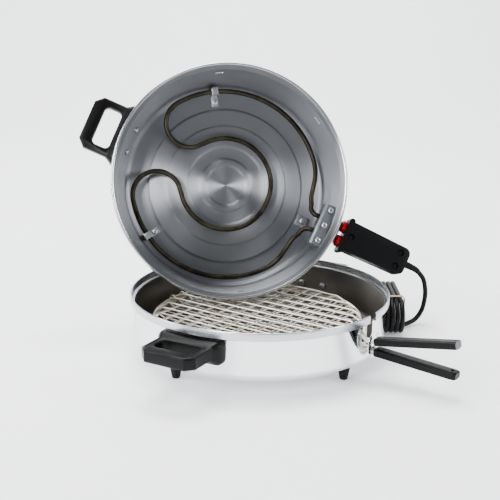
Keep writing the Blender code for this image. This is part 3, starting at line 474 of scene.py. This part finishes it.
# ---------------------------------------------------------------------------
# Feet. Four pegs of moulded black rubber, wider at the top, each pulled up
# against the floor by a screw from inside.
FOOT_R, FOOT_HEIGHT = 0.1295, 0.016
foot_profile = [(0.0, -FOOT_HEIGHT), (0.0028, -FOOT_HEIGHT)]
foot_profile += arc(0.0031, -FOOT_HEIGHT + 0.0014, 0.0014, -QUARTER, -0.15, 5)
foot_profile += [(0.0058, -0.0080), (0.0068, -0.0022)]
foot_profile += arc(0.0056, -0.0014, 0.0011, 0.0, QUARTER, 4) + [(0.0, -0.0003)]
foot_rubber, tree, shader = new_material("moulded_black_rubber", "0B0B0B", 0.6, IOR=1.46)
surface_marks(tree, shader, 1400.0, relief=(0.2, 0.0001))
foot_mesh = turned("pan_foot", foot_profile, 40)
for k, degrees in enumerate((45, 135, -135, -45), 1):
    a = math.radians(degrees)
    foot = link_object(f"pan_foot_{k}", foot_mesh, [foot_rubber],
                       Matrix.Translation((FOOT_R * math.cos(a), FOOT_R * math.sin(a), 0)))
    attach(foot, "pan")
    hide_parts(f"foot_{k}")

# ---------------------------------------------------------------------------
# Loop handles. Three alike in black bakelite, pressed in a mould: a square
# loop with chamfered corners on a block that fits the curved wall, held by
# two zinc screws from inside. Half gloss, with soft moulded edges.
bakelite, tree, shader = new_material("moulded_bakelite", "060607", 0.4, Specular_IOR_Level=0.3)
# flow marks of the moulding, a few millimetres long
surface_marks(tree, shader, 180.0, 5.0, (0.3, 0.5), (0.08, 0.0003), fineness=0.6)


def soften(obj, width, segments=4, degrees=50):
    edge = obj.modifiers.new("soft_edges", "BEVEL")
    edge.width, edge.segments = width, segments
    edge.limit_method, edge.angle_limit = "ANGLE", math.radians(degrees)
    return carve(obj)


HANDLE_THICK = 0.0140


def loop_handle(name, face, top, wall, line, body):
    """face is the mounting radius, top the bar's top, wall the tool that hollows its back."""
    end, half, chamfer = face + 0.050, 0.033, 0.009
    outline = [(face - 0.001, -half), (end - chamfer, -half), (end, -half + chamfer),
               (end, half - chamfer), (end - chamfer, half), (face - 0.001, half)]
    bar = link_object(name, slab(name, outline, top - HANDLE_THICK, top), [bakelite], line)
    opening = round_corners(face + 0.013, end - 0.015, 0.009 - half, half - 0.009, 0.006)
    carve(bar, cutter(opening, top - 0.03, top + 0.01, "Z", line))
    soften(bar, 0.0024)
    flare = []
    for x, half_y, low, high in ((-0.014, 0.039, 0.022, 0.004), (0.001, 0.039, 0.022, 0.004),
                                 (0.005, 0.0375, 0.0205, 0.0036), (0.009, 0.035, 0.017, 0.0018),
                                 (0.013, 0.033, HANDLE_THICK + 0.001, -0.0006)):
        flare.append([(face + x, u, v) for u, v in round_corners(
            -half_y, half_y, top - low, top + high, min(0.006, (low + high) * 0.3))])
    block = link_object("tool", loft("tool", flare, capped=True), place=line)
    steps = [(block, "UNION"), (wall, "DIFFERENCE")]
    steps += [drill(SCREW_HOLE, face - 0.02, face + 0.0035, side * SCREW_SPREAD,
                    top - SCREW_DROP, line) for side in (-1, 1)]
    carve(bar, *steps)
    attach(bar, body)
    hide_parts(name)


for name, line in handle_lines.items():
    wall = link_object("tool", turned("tool", [(0, -0.02), (WALL_R + 0.0003, -0.02),
                                               (WALL_R + 0.0003, 0.08), (0, 0.08)],
                                      SPUN_FACETS))
    loop_handle(name, WALL_R + 0.001, HANDLE_TOP, wall, line, "pan")

# ---------------------------------------------------------------------------
# Screws. Zinc-plated steel with low domed heads and a cross recess. They hold
# the handles, the terminals, the earth plate, the clips and the connector.
zinc_plate, tree, shader = new_material("zinc_plated_steel", "C4C6C8", 0.3, 1.0)
surface_marks(tree, shader, 420.0, 3.0, gloss=(0.2, 0.45))


def screw_mesh(head_r, head_h, shank_r, length):
    profile = [(0.0, -length), (shank_r - 0.0003, -length), (shank_r, -length + 0.0004),
               (shank_r, 0.0), (head_r - 0.0002, 0.0), (head_r, 0.0002),
               (head_r, head_h * 0.45)]
    profile += [(head_r * math.cos(t), head_h * (0.45 + 0.55 * math.sin(t)))
                for t in (QUARTER * k / 6 for k in range(1, 6))] + [(0.0, head_h)]
    screw = link_object("screw", turned("screw", profile, 32))
    blade = round_corners(-head_r * 0.62, head_r * 0.62, -0.00038, 0.00038, 0.0001, 2)
    mesh = carve(screw, *[cutter(blade, head_h * 0.35, head_h + 0.001, "Z",
                                 Matrix.Rotation(turn, 4, "Z")) for turn in (0, QUARTER)]).data
    bpy.data.objects.remove(screw)
    return mesh


def set_screw(node, mesh, line, x, y, z, body, inward=False, finish=zinc_plate):
    aim = Matrix.Rotation(-QUARTER, 4, "Y") if inward else Matrix.Identity(4)
    screw = link_object(node + "_cross", mesh, [finish],
                        line @ Matrix.Translation((x, y, z)) @ aim)
    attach(screw, body)
    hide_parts(node)


HEAD_R = 0.0038                 # head of a handle's screw


def handle_screws(handle, line, inside_low, face, top, body):
    seat = (inside_low**2 - (SCREW_SPREAD + HEAD_R) ** 2) ** 0.5 - 0.0003
    mesh = screw_mesh(HEAD_R, 0.0024, 0.0019, face + 0.003 - seat)
    for k, side in ((1, -1), (2, 1)):
        set_screw(f"{handle}_screw_{k}", mesh, line, seat, side * SCREW_SPREAD,
                  top - SCREW_DROP, body, True)


for name, line in handle_lines.items():
    handle_screws(name, line, WALL_IN, WALL_R + 0.001, HANDLE_TOP, "pan")

# ---------------------------------------------------------------------------
# Basket. Two dished grids of tinned steel wire, welded to their rings at
# 18 mm pitch and hinged by two wire loops at the far end. Two thicker wires
# run from each ring out through the slot into a grip.
SHIFT, BASKET_R, PITCH = 0.0034, 0.1210, 0.018
RING_MID, RING_OFF, DISH, LAYER = 0.0224, 0.0019, 0.0044, 0.0023
BASKET = SLOT @ Matrix.Translation((-SHIFT, 0, 0))
GRIP_X, COVER_X, ARM_SPREAD = 0.155 + SHIFT, 0.152 + SHIFT, 0.0035
UPPER_ROOT, UPPER_RISE = 0.0275, math.radians(10.3)
LOWER_ROOT, LOWER_RISE = 0.0160, math.radians(-3.1)
tinned, tree, shader = new_material("tinned_steel_wire", "F1EDE2", 0.42, 1.0)
# fat-browned patches a few centimetres across on the bright tin
surface_marks(tree, shader, 45.0, 4.0, tones=("F8F6F0", "E6DFCE"), tone_ends=(0.35, 0.7))


def easy_bends(points, reach=0.0022):
    """Replace each corner of a line by a short bend."""
    points = [Vector(p) for p in points]
    line = [points[0]]
    for before, corner, after in zip(points, points[1:], points[2:]):
        a = corner + (before - corner).normalized() * reach
        b = corner + (after - corner).normalized() * reach
        line += [a * (1 - t) ** 2 + corner * (2 * t * (1 - t)) + b * t**2
                 for t in (0, 0.25, 0.5, 0.75, 1)]
    return line + [points[-1]]


def basket_half(name, node, body, ring_z, sense, root_z, rise, wall_z):
    ring = [(u, v, ring_z) for u, v in circle(0, 0, BASKET_R, 180)]
    ring_wire = link_object(name + "_ring", round_wire(name + "_ring", [ring], 0.0016, 4, (0,)),
                            [tinned], BASKET)
    fine, thick = [], []
    for layer in (0, 1):
        level = ring_z + sense * (DISH - layer * LAYER)
        for k in range(-6, 7):
            across = k * PITCH
            end = (BASKET_R**2 - across**2) ** 0.5
            flat = end - 0.010
            run = easy_bends([(-end, 0, ring_z), (-flat, 0, level), (flat, 0, level),
                              (end, 0, ring_z)])
            fine.append([(p.x, across, p.z) if layer == 0 else (across, p.x, p.z) for p in run])
    for side in (-1, 1):
        y = side * ARM_SPREAD
        start = (BASKET_R**2 - y**2) ** 0.5
        inner, outer = GRIP_X - 0.003, GRIP_X + 0.024
        thick.append(easy_bends([
            (start, y, ring_z), (0.1445 + SHIFT - 0.006, y, wall_z),
            (inner, y, root_z + (inner - GRIP_X) * math.tan(rise)),
            (outer, y, root_z + (outer - GRIP_X) * math.tan(rise))]))
    grid = link_object(name + "_grid", round_wire(name + "_grid", fine, 0.0010, 3), [tinned],
                       BASKET)
    pieces = [(ring_wire, [node]), (grid, [node])]
    for k, line in enumerate(thick, 1):
        arm = link_object(f"{name}_arm_{k}", round_wire("arm", [line], 0.00175, 4), [tinned],
                          BASKET)
        pieces.append((arm, [node.replace("basket", "basket_arm") + f"_{k}"]))
    if sense < 0:
        top_z, foot_z = ring_z - DISH, SHEET + 0.0003 + 0.0012
        for k, x in ((1, -0.054), (2, 0.054)):
            rest = easy_bends([(x, -0.036, top_z), (x, -0.036, foot_z), (x, 0.036, foot_z),
                               (x, 0.036, top_z)])
            rest = link_object(f"grid_rest_{k}", round_wire("rest", [rest], 0.0012, 3), [tinned],
                               BASKET)
            pieces.append((rest, [f"basket_rest_{k}"]))
    for piece, nodes in pieces:
        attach(piece, body)
        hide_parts(*nodes)


basket_half("lower_basket", "basket_lower", "basket", RING_MID - RING_OFF, -1, LOWER_ROOT,
            LOWER_RISE, 0.0182)
basket_half("upper_basket", "basket_upper", "basket_top", RING_MID + RING_OFF, 1, UPPER_ROOT,
            UPPER_RISE, 0.0255)
loop_line = [(u, 0, v) for u, v in circle(0, 0, 0.005, 40)]
for k, side in ((1, -1), (2, 1)):
    ring = link_object(f"hinge_loop_{k}", round_wire("hinge_loop", [loop_line], 0.0010, 3,
                                                     (0,)), [tinned],
                       BASKET @ Matrix.Translation((-BASKET_R, side * PITCH / 2, RING_MID)))
    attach(ring, "basket")
    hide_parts(f"basket_hinge_loop_{k}")

# ---------------------------------------------------------------------------
# Slot cover. An oval of chromed sheet steel threaded on the lower arms. It
# closes the slot when the basket is in, and is notched for the upper arms.
chrome, tree, shader = new_material("chromed_sheet_steel", "DFE1E4", 0.08, 1.0)
surface_marks(tree, shader, 120.0, 4.0, gloss=(0.14, 0.3))
cover = link_object("slot_cover_oval", slab("slot_cover_oval", [
    (0.013 * math.cos(t), 0.023 + 0.015 * math.sin(t))
    for t in (2 * math.pi * k / 96 for k in range(96))], COVER_X - 0.0005, COVER_X + 0.0005,
    "X"), [chrome], BASKET)
lower_here = LOWER_ROOT + (COVER_X - GRIP_X) * math.tan(LOWER_RISE)
steps = [cutter(round_corners(-0.00585, 0.00585, 0.0216, 0.05, 0.002), COVER_X - 0.01,
                COVER_X + 0.01, "X", BASKET)]
steps += [drill(0.0022, COVER_X - 0.01, COVER_X + 0.01, side * ARM_SPREAD, lower_here, BASKET)
          for side in (-1, 1)]
carve(cover, *steps)
soften(cover, 0.00022, 2, 60)
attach(cover, "basket")
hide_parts("slot_cover")

# ---------------------------------------------------------------------------
# Grips. Two bars of black bakelite pushed on the arms. The upper one has
# fluted sides and a bare, slanted end; the lower one is plain, with a hole
# to hang it by.
GRIP_LENGTH, GRIP_W, GRIP_T = 0.096, 0.015, 0.009


def grip_section(flutes, scale, x):
    """Cross-section of a grip; flutes is the depth of the lengthwise grooves."""
    ring = []
    for k in range(72):
        t = 2 * math.pi * k / 72
        c, s = math.cos(t), math.sin(t)
        y = abs(c) ** 0.45 * math.copysign(GRIP_W / 2, c)
        z = abs(s) ** 0.45 * math.copysign(GRIP_T / 2, s)
        if flutes and abs(s) > 0.55:
            z -= math.copysign(flutes * (0.5 - 0.5 * math.cos(4 * math.pi * y / GRIP_W * 2)), s)
        ring.append((x, y * scale, z * scale))
    return ring


def grip(name, node, body, root_z, rise, flutes, slant):
    stations = [(0.0, 0.86), (0.0006, 0.93), (0.0016, 0.98), (0.003, 1.0), (0.020, 1.0),
                (0.050, 1.0), (0.075, 1.0), (0.090, 1.0)]
    if slant:
        stations += [(GRIP_LENGTH - 0.0012, 1.0), (GRIP_LENGTH - 0.0003, 0.96)]
    else:
        stations += [(0.0925, 0.97), (0.0945, 0.90), (GRIP_LENGTH - 0.0004, 0.78)]
    rings = [grip_section(flutes * min(1.0, x / 0.004), scale, x) for x, scale in stations]
    line = BASKET @ Matrix.Translation((GRIP_X, 0, root_z)) @ Matrix.Rotation(-rise, 4, "Y")
    bar = link_object(name, loft(name, rings, capped=True), [bakelite], line)
    steps = [drill(0.00205, -0.002, 0.025, side * ARM_SPREAD, 0.0, line) for side in (-1, 1)]
    if not slant:
        steps.append(cutter(circle(GRIP_LENGTH - 0.0065, 0, 0.002, 32), -0.01, 0.01, "Z", line))
    carve(bar, *steps)
    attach(bar, body)
    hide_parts(node)
    return bar


upper_grip = grip("upper_grip", "grip_upper", "basket_top", UPPER_ROOT, UPPER_RISE, 0.0004, True)
grip("lower_grip", "grip_lower", "basket", LOWER_ROOT, LOWER_RISE, 0.0, False)
worn_end, _, _ = new_material("bare_bakelite_end", "6E7072", 0.5, IOR=1.6)
upper_grip.data.materials.append(worn_end)
for face in upper_grip.data.polygons:
    if face.normal.x > 0.9 and face.center.x > GRIP_LENGTH - 0.001:
        face.material_index = 1

# ---------------------------------------------------------------------------
# Lid. Spun from aluminium sheet with a rolled rim, a tapered wall and a crown
# pressed in rings. It leans on the basket with its inside to the front. The
# turning marks on the crown throw a fan of light across it.
LEAN, YAW = math.radians(18.47), math.radians(8.87)
LID = (Matrix.Translation((-0.0349, 0.0793, 0.17026)) @ Matrix.Rotation(YAW, 4, "Z")
       @ Matrix.Rotation(QUARTER - LEAN, 4, "X"))
LID_RIM, LID_WALL, LID_FOOT, LID_DEPTH = 0.1452, 0.1367, 0.1277, 0.058
LID_BAND, LID_CORNER = 0.009, 0.008
CORNER_AT = LID_FOOT - LID_CORNER
RINGS = ((0.098, 0.0026), (0.076, 0.0046), (0.049, 0.0022), (0.0336, 0.0040), (0.025, 0.0020))
INLET = LID @ Matrix.Rotation(math.radians(-26.7), 4, "Z")
PIN_DEPTH = 0.016


def lid_inside(depth):
    return LID_WALL - 0.009 * (depth - LID_BAND) / (LID_DEPTH - LID_CORNER - LID_BAND)


def smoothed_step(r_from, z_from, r_to, z_to, parts=7):
    return [(r_from + (r_to - r_from) * k / parts,
             z_from + (z_to - z_from) * (0.5 - 0.5 * math.cos(math.pi * k / parts)))
            for k in range(parts + 1)]


outer = arc(LID_RIM - 0.0020, -0.0020, 0.0020, math.pi - 0.9, 0, 8)
outer += [(LID_RIM, -LID_BAND + 0.0010)]
outer += arc(LID_RIM - 0.0010, -LID_BAND + 0.0010, 0.0010, 0, -QUARTER, 4)
outer += [(LID_WALL + SHEET + 0.0008, -LID_BAND), (LID_WALL + SHEET, -LID_BAND - 0.0008)]
outer += [(CORNER_AT + r, -d) for r, d in
          arc(0, LID_DEPTH - LID_CORNER, LID_CORNER + SHEET, 0, QUARTER, 10)]
outer += [(0.100, -LID_DEPTH - SHEET), (0.0, -LID_DEPTH - SHEET)]
inner = [(0.0, -LID_DEPTH + RINGS[-1][1])]
for far, near in reversed(list(zip(RINGS, RINGS[1:]))):
    inner += smoothed_step(near[0] - 0.0018, -LID_DEPTH + near[1], near[0] + 0.0018,
                           -LID_DEPTH + far[1])
inner += smoothed_step(RINGS[0][0] - 0.0026, -LID_DEPTH + RINGS[0][1], RINGS[0][0] + 0.0012,
                       -LID_DEPTH)
inner += [(CORNER_AT + r, -d) for r, d in
          arc(0, LID_DEPTH - LID_CORNER, LID_CORNER, QUARTER, 0, 9)]
inner += [(LID_WALL, -LID_BAND - 0.0004), (LID_WALL + 0.0008, -LID_BAND + SHEET),
          (LID_RIM - 0.0034, -LID_BAND + SHEET + 0.0006), (LID_RIM - 0.0026, -LID_BAND + 0.0030)]
lid_outside = spun_aluminium("brushed_aluminium", "C6C8CB", 0.20, 0.32, 1.4, 0.4)
lid_inside_metal = spun_aluminium("turned_lid_aluminium", "A6A8AC", 0.36, 0.50, 1.1, 0.93, 0.12)
lid = link_object("lid_spun_shell", turned(
    "lid_spun_shell", outer + inner, SPUN_FACETS, 32,
    [0] * len(outer) + [1] * len(inner)), [lid_outside, lid_inside_metal], LID)
steps = []
for degrees in (60, 120, -120, -60):
    line = INLET @ Matrix.Rotation(math.radians(degrees), 4, "Z")
    steps.append(cutter(round_corners(-0.005, 0.005, -0.0175, -0.0145, 0.0014), 0.12, 0.142,
                        "X", line))
LID_HANDLE = LID @ Matrix.Rotation(math.radians(155), 4, "Z")
LID_HANDLE_TOP = -LID_BAND - 0.0006 - 0.004
steps += [drill(SCREW_HOLE, 0.12, 0.146, side * SCREW_SPREAD, LID_HANDLE_TOP - SCREW_DROP,
                LID_HANDLE) for side in (-1, 1)]
steps.append(cutter(round_corners(-0.0143, 0.0143, -0.0214, -0.0121, 0.0012), 0.1257, 0.1417,
                    "X", INLET))
CLIPS = [INLET @ Matrix.Rotation(side * math.radians(122), 4, "Z") for side in (1, -1)]
ROD_R, ROD_DEPTH = 0.003, 0.044
CLIP_LEFT = 0.115 + 0.004 * 122 / 146 - ROD_R - 0.0006
CLIP_HOLE_X, EARTH_X, SMALL_HOLE = CLIP_LEFT - 0.0075, 0.108, 0.0019
for line, x in [(CLIPS[0], CLIP_HOLE_X), (CLIPS[1], CLIP_HOLE_X), (INLET, EARTH_X)]:
    steps.append(cutter(circle(x, 0, SMALL_HOLE, 20), -0.064, -0.054, "Z", line))
carve(lid, *steps)
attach(lid, "lid")
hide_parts("lid_shell")
lid_wall_tool = link_object("tool", turned("tool", [
    (0, -LID_BAND + 0.0005), (LID_WALL + SHEET + 0.0003, -LID_BAND + 0.0005),
    (LID_WALL + SHEET + 0.0003, -LID_BAND), (LID_FOOT + SHEET + 0.0003, -LID_DEPTH + LID_CORNER),
    (0, -LID_DEPTH + LID_CORNER)], SPUN_FACETS), place=LID)
loop_handle("lid_handle", LID_WALL + SHEET, LID_HANDLE_TOP, lid_wall_tool, LID_HANDLE, "lid")
handle_screws("lid_handle", LID_HANDLE, lid_inside(-LID_HANDLE_TOP + SCREW_DROP + HEAD_R),
              LID_WALL + SHEET, LID_HANDLE_TOP, "lid")

# ---------------------------------------------------------------------------
# Heating element. A 6 mm steel-sheathed rod bent in one plane: out from the
# terminals round the wall, back in a U-turn and round the middle. Heat has
# turned its sheath olive black.
PIN_SPREAD, BLOCK_IN, UTURN = 0.0095, lid_inside(PIN_DEPTH) - 0.015, math.radians(146)


def polar(radius, angle, depth=ROD_DEPTH):
    return Vector((radius * math.cos(angle), radius * math.sin(angle), -depth))


end_depth, bend = PIN_DEPTH + 0.008, 0.011
half = [Vector((BLOCK_IN - 0.0003, PIN_SPREAD, -end_depth)),
        Vector((BLOCK_IN - 0.003, PIN_SPREAD, -end_depth))]
for k in range(1, 5):
    t = QUARTER * k / 4
    half.append(Vector((BLOCK_IN - 0.003 - bend * math.sin(t),
                        PIN_SPREAD + bend * (1 - math.cos(t)), -end_depth - 0.006 * k / 4)))
start_r, first = BLOCK_IN - 0.003 - bend, math.radians(16)
for k in range(19):
    share, drop = k / 18, min(1.0, k / 3)
    drop = drop * drop * (3 - 2 * drop)
    near = start_r + (0.115 - start_r) * drop
    half.append(polar(near + 0.004 * share, first + (UTURN - first) * share,
                      end_depth + 0.006 + (ROD_DEPTH - end_depth - 0.006) * drop))
centre, out = polar(0.089, UTURN), polar(1, UTURN, 0)
along = polar(1, UTURN + QUARTER, 0)
half += [centre + out * (0.030 * math.cos(t)) + along * (0.030 * math.sin(t))
         for t in (math.pi * k / 8 for k in range(1, 8))]
inner_run = [polar(0.055 + 0.004 * abs(1 - k / 12), UTURN * (1 - k / 12)) for k in range(25)]
mirrored = [Vector((p.x, -p.y, p.z)) for p in reversed(half)]
rod_line, _ = smooth_line(half + inner_run + mirrored, 0.0025)
sheath, tree, shader = new_material("oxidised_steel_sheath", "6A6557", 0.4, 0.85)
# bands of oxide a few centimetres long, browner and greyer by turns
surface_marks(tree, shader, 38.0, 5.0, (0.3, 0.55), tones=("27241E", "565146"),
              tone_ends=(0.3, 0.7), fineness=0.6)
rod = link_object("sheathed_rod", round_wire("sheathed_rod", [rod_line], ROD_R, 5), [sheath],
                  INLET)
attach(rod, "lid")
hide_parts("heating_element")

# ---------------------------------------------------------------------------
# Clips and earth plate. Straps of zinc-plated steel, bent over the rod and
# screwed to the crown, and a small plate for the earth wire.
CROWN = -LID_DEPTH + 0.0003
left, right = CLIP_LEFT, CLIP_LEFT + 2 * ROD_R + 0.0012
over = -ROD_DEPTH + ROD_R + 0.0003
strap = [(left - 0.013, CROWN), (left, CROWN), (left, over), (right, over),
         (right, -ROD_DEPTH - 0.001), (right + 0.001, -ROD_DEPTH - 0.001),
         (right + 0.001, over + 0.001), (left - 0.001, over + 0.001),
         (left - 0.001, CROWN + 0.001), (left - 0.013, CROWN + 0.001)]
small_screw = screw_mesh(0.0034, 0.0022, 0.0016, 0.0058)
for k, line in enumerate(CLIPS, 1):
    clip = link_object(f"rod_strap_{k}", slab("rod_strap", strap, -0.004, 0.004, "Y"),
                       [zinc_plate], line)
    carve(clip, cutter(circle(CLIP_HOLE_X, 0, SMALL_HOLE, 20), -0.06, -0.05, "Z", line))
    soften(clip, 0.00028, 2)
    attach(clip, "lid")
    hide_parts(f"element_clip_{k}")
    set_screw(f"clip_screw_{k}", small_screw, line, CLIP_HOLE_X, 0, CROWN + 0.0013, "lid")
earth_top = CROWN + 0.0012
plate = link_object("earth_tab", slab("earth_tab", round_corners(
    EARTH_X - 0.008, EARTH_X + 0.008, -0.007, 0.007, 0.002), CROWN, earth_top), [zinc_plate],
    INLET)
carve(plate, cutter(circle(EARTH_X, 0, SMALL_HOLE, 20), -0.06, -0.05, "Z", INLET))
soften(plate, 0.0003, 2)
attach(plate, "lid")
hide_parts("earth_plate")
set_screw("earth_screw", small_screw, INLET, EARTH_X, 0, earth_top + 0.0003, "lid")

# ---------------------------------------------------------------------------
# Terminal housing. A dull zinc-plated box inside the wall. The two brass pins
# pass through its neck, and three screws on the side to the mouth clamp the
# wires.
dull_plate, tree, shader = new_material("dull_zinc_housing", "8D9196", 0.42, 1.0)
surface_marks(tree, shader, 260.0, 4.0, gloss=(0.34, 0.55))
wedge = [(BLOCK_IN, -0.036), (BLOCK_IN, -0.0145), (BLOCK_IN + 0.0025, -0.0120),
         (lid_inside(0.012) - 0.0004, -0.0120), (lid_inside(0.036) - 0.0004, -0.036)]
housing = link_object("terminal_housing", slab("terminal_housing", wedge, -0.027, 0.027, "Y"),
                      [dull_plate], INLET)
neck = link_object("tool", slab("tool", round_corners(-0.014, 0.014, -0.0211, -0.0124, 0.001),
                                BLOCK_IN + 0.008, 0.1487, "X"), place=INLET)
carve(housing, (neck, "UNION"))
soften(housing, 0.0008, 3)
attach(housing, "lid")
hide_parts("terminal_block")
terminal_screw = screw_mesh(0.0036, 0.0024, 0.0016, 0.005)
for k, y in enumerate((-0.0205, 0.0, 0.0205), 1):
    set_screw(f"terminal_screw_{k}", terminal_screw, INLET, BLOCK_IN + 0.0088, y, -0.0118,
              "lid")

# ---------------------------------------------------------------------------
# Connector. Two shells of black phenolic, screwed together from the front
# round two dark red insulating sleeves, with a collar that has round ears.
phenolic, tree, shader = new_material("moulded_phenolic", "0C0C0E", 0.45, Specular_IOR_Level=0.3)
surface_marks(tree, shader, 500.0, 4.0, (0.34, 0.52), (0.1, 0.0002))
BODY_END, EAR = 0.242, 0.0225
face_z = -PIN_DEPTH + 0.011
outline = arc(0.158, EAR - 0.003, 0.003, math.pi, QUARTER, 6)
outline += arc(0.159, EAR - 0.003, 0.003, QUARTER, 0, 6) + [(0.162, 0.019)]
outline += arc(BODY_END - 0.008, 0.0095, 0.008, QUARTER, 0, 8)
outline += [(x, -y) for x, y in reversed(outline)]
screws = ((0.1645, 0.0), (BODY_END - 0.0123, -0.009), (BODY_END - 0.0123, 0.009))


def upright_hole(x, y, radius, low, high):
    return cutter(circle(x, y, radius, 32), low, high, "Z", INLET)


for name, low, high in (("connector_front", -PIN_DEPTH + 0.00015, face_z),
                        ("connector_rear", face_z - 0.022, -PIN_DEPTH - 0.00015)):
    shell = link_object(name + "_shell", slab(name, outline, low, high), [phenolic], INLET)
    soften(shell, 0.0013, 3, 60)
    steps = [drill(0.0049, BODY_END - 0.010, BODY_END + 0.01, 0.0, -PIN_DEPTH, INLET)]
    steps += [drill(0.0055, 0.148, 0.1763, side * PIN_SPREAD, -PIN_DEPTH, INLET)
              for side in (-1, 1)]
    for x, y in screws:
        if name == "connector_front":
            steps.append(upright_hole(x, y, 0.0039, face_z - 0.0035, face_z + 0.01))
        steps.append(upright_hole(x, y, 0.0018, face_z - 0.018, face_z + 0.002))
    carve(shell, *steps)
    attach(shell, "connector")
    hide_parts(name)
# chemically blackened, with a slight sheen
blackened, _, _ = new_material("blackened_steel", "3A3B3D", 0.38, 1.0)
connector_screw = screw_mesh(0.0036, 0.0020, 0.0015, 0.014)
for k, (x, y) in enumerate(screws, 1):
    set_screw(f"connector_screw_{k}", connector_screw, INLET, x, y, face_z - 0.0032,
              "connector", finish=blackened)
red_resin, _, _ = new_material("red_melamine", "A8141B", 0.35, IOR=1.5)
sleeve_profile = [(0.0024, -0.0012), (0.0062, -0.0012), (0.0076, 0.0004), (0.0076, 0.0046),
                  (0.0052, 0.0049), (0.0052, 0.0254), (0.0046, 0.026), (0.0, 0.026),
                  (0.0, 0.0232), (0.0024, 0.0226)]
sleeve_mesh = turned("contact_sleeve", sleeve_profile, 40)
for k, side in ((1, -1), (2, 1)):
    sleeve = link_object(f"red_sleeve_{k}", sleeve_mesh, [red_resin],
                         INLET @ Matrix.Translation((0.150, side * PIN_SPREAD, -PIN_DEPTH))
                         @ Matrix.Rotation(QUARTER, 4, "Y"))
    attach(sleeve, "connector")
    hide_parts(f"contact_sleeve_{k}")

# ---------------------------------------------------------------------------
# Strain relief. A tapered PVC sleeve moulded with rings, which droops with
# the cord over its last third.
RELIEF = ((0.1731, 0.0937, 0.0661), (0.1817, 0.0936, 0.0620), (0.1917, 0.0936, 0.0573),
          (0.1964, 0.0936, 0.0546), (0.1999, 0.0936, 0.0518))
relief_line, relief_length = smooth_line(RELIEF, 0.0005)
taper = []
for k in range(len(relief_line)):
    along = k / (len(relief_line) - 1)
    size = 1.0 - 0.24 * max(0.0, (along - 0.3) / 0.7)
    groove = along > 0.42 and (along * relief_length / 0.0022) % 1.0 > 0.72
    taper.append(size * (0.93 if groove else 1.0))
relief = link_object("relief_sleeve", round_wire("relief_sleeve", [relief_line], 0.0046, 5,
                                                 taper=taper), [moulded_pvc])
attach(relief, "connector")
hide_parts("strain_relief")
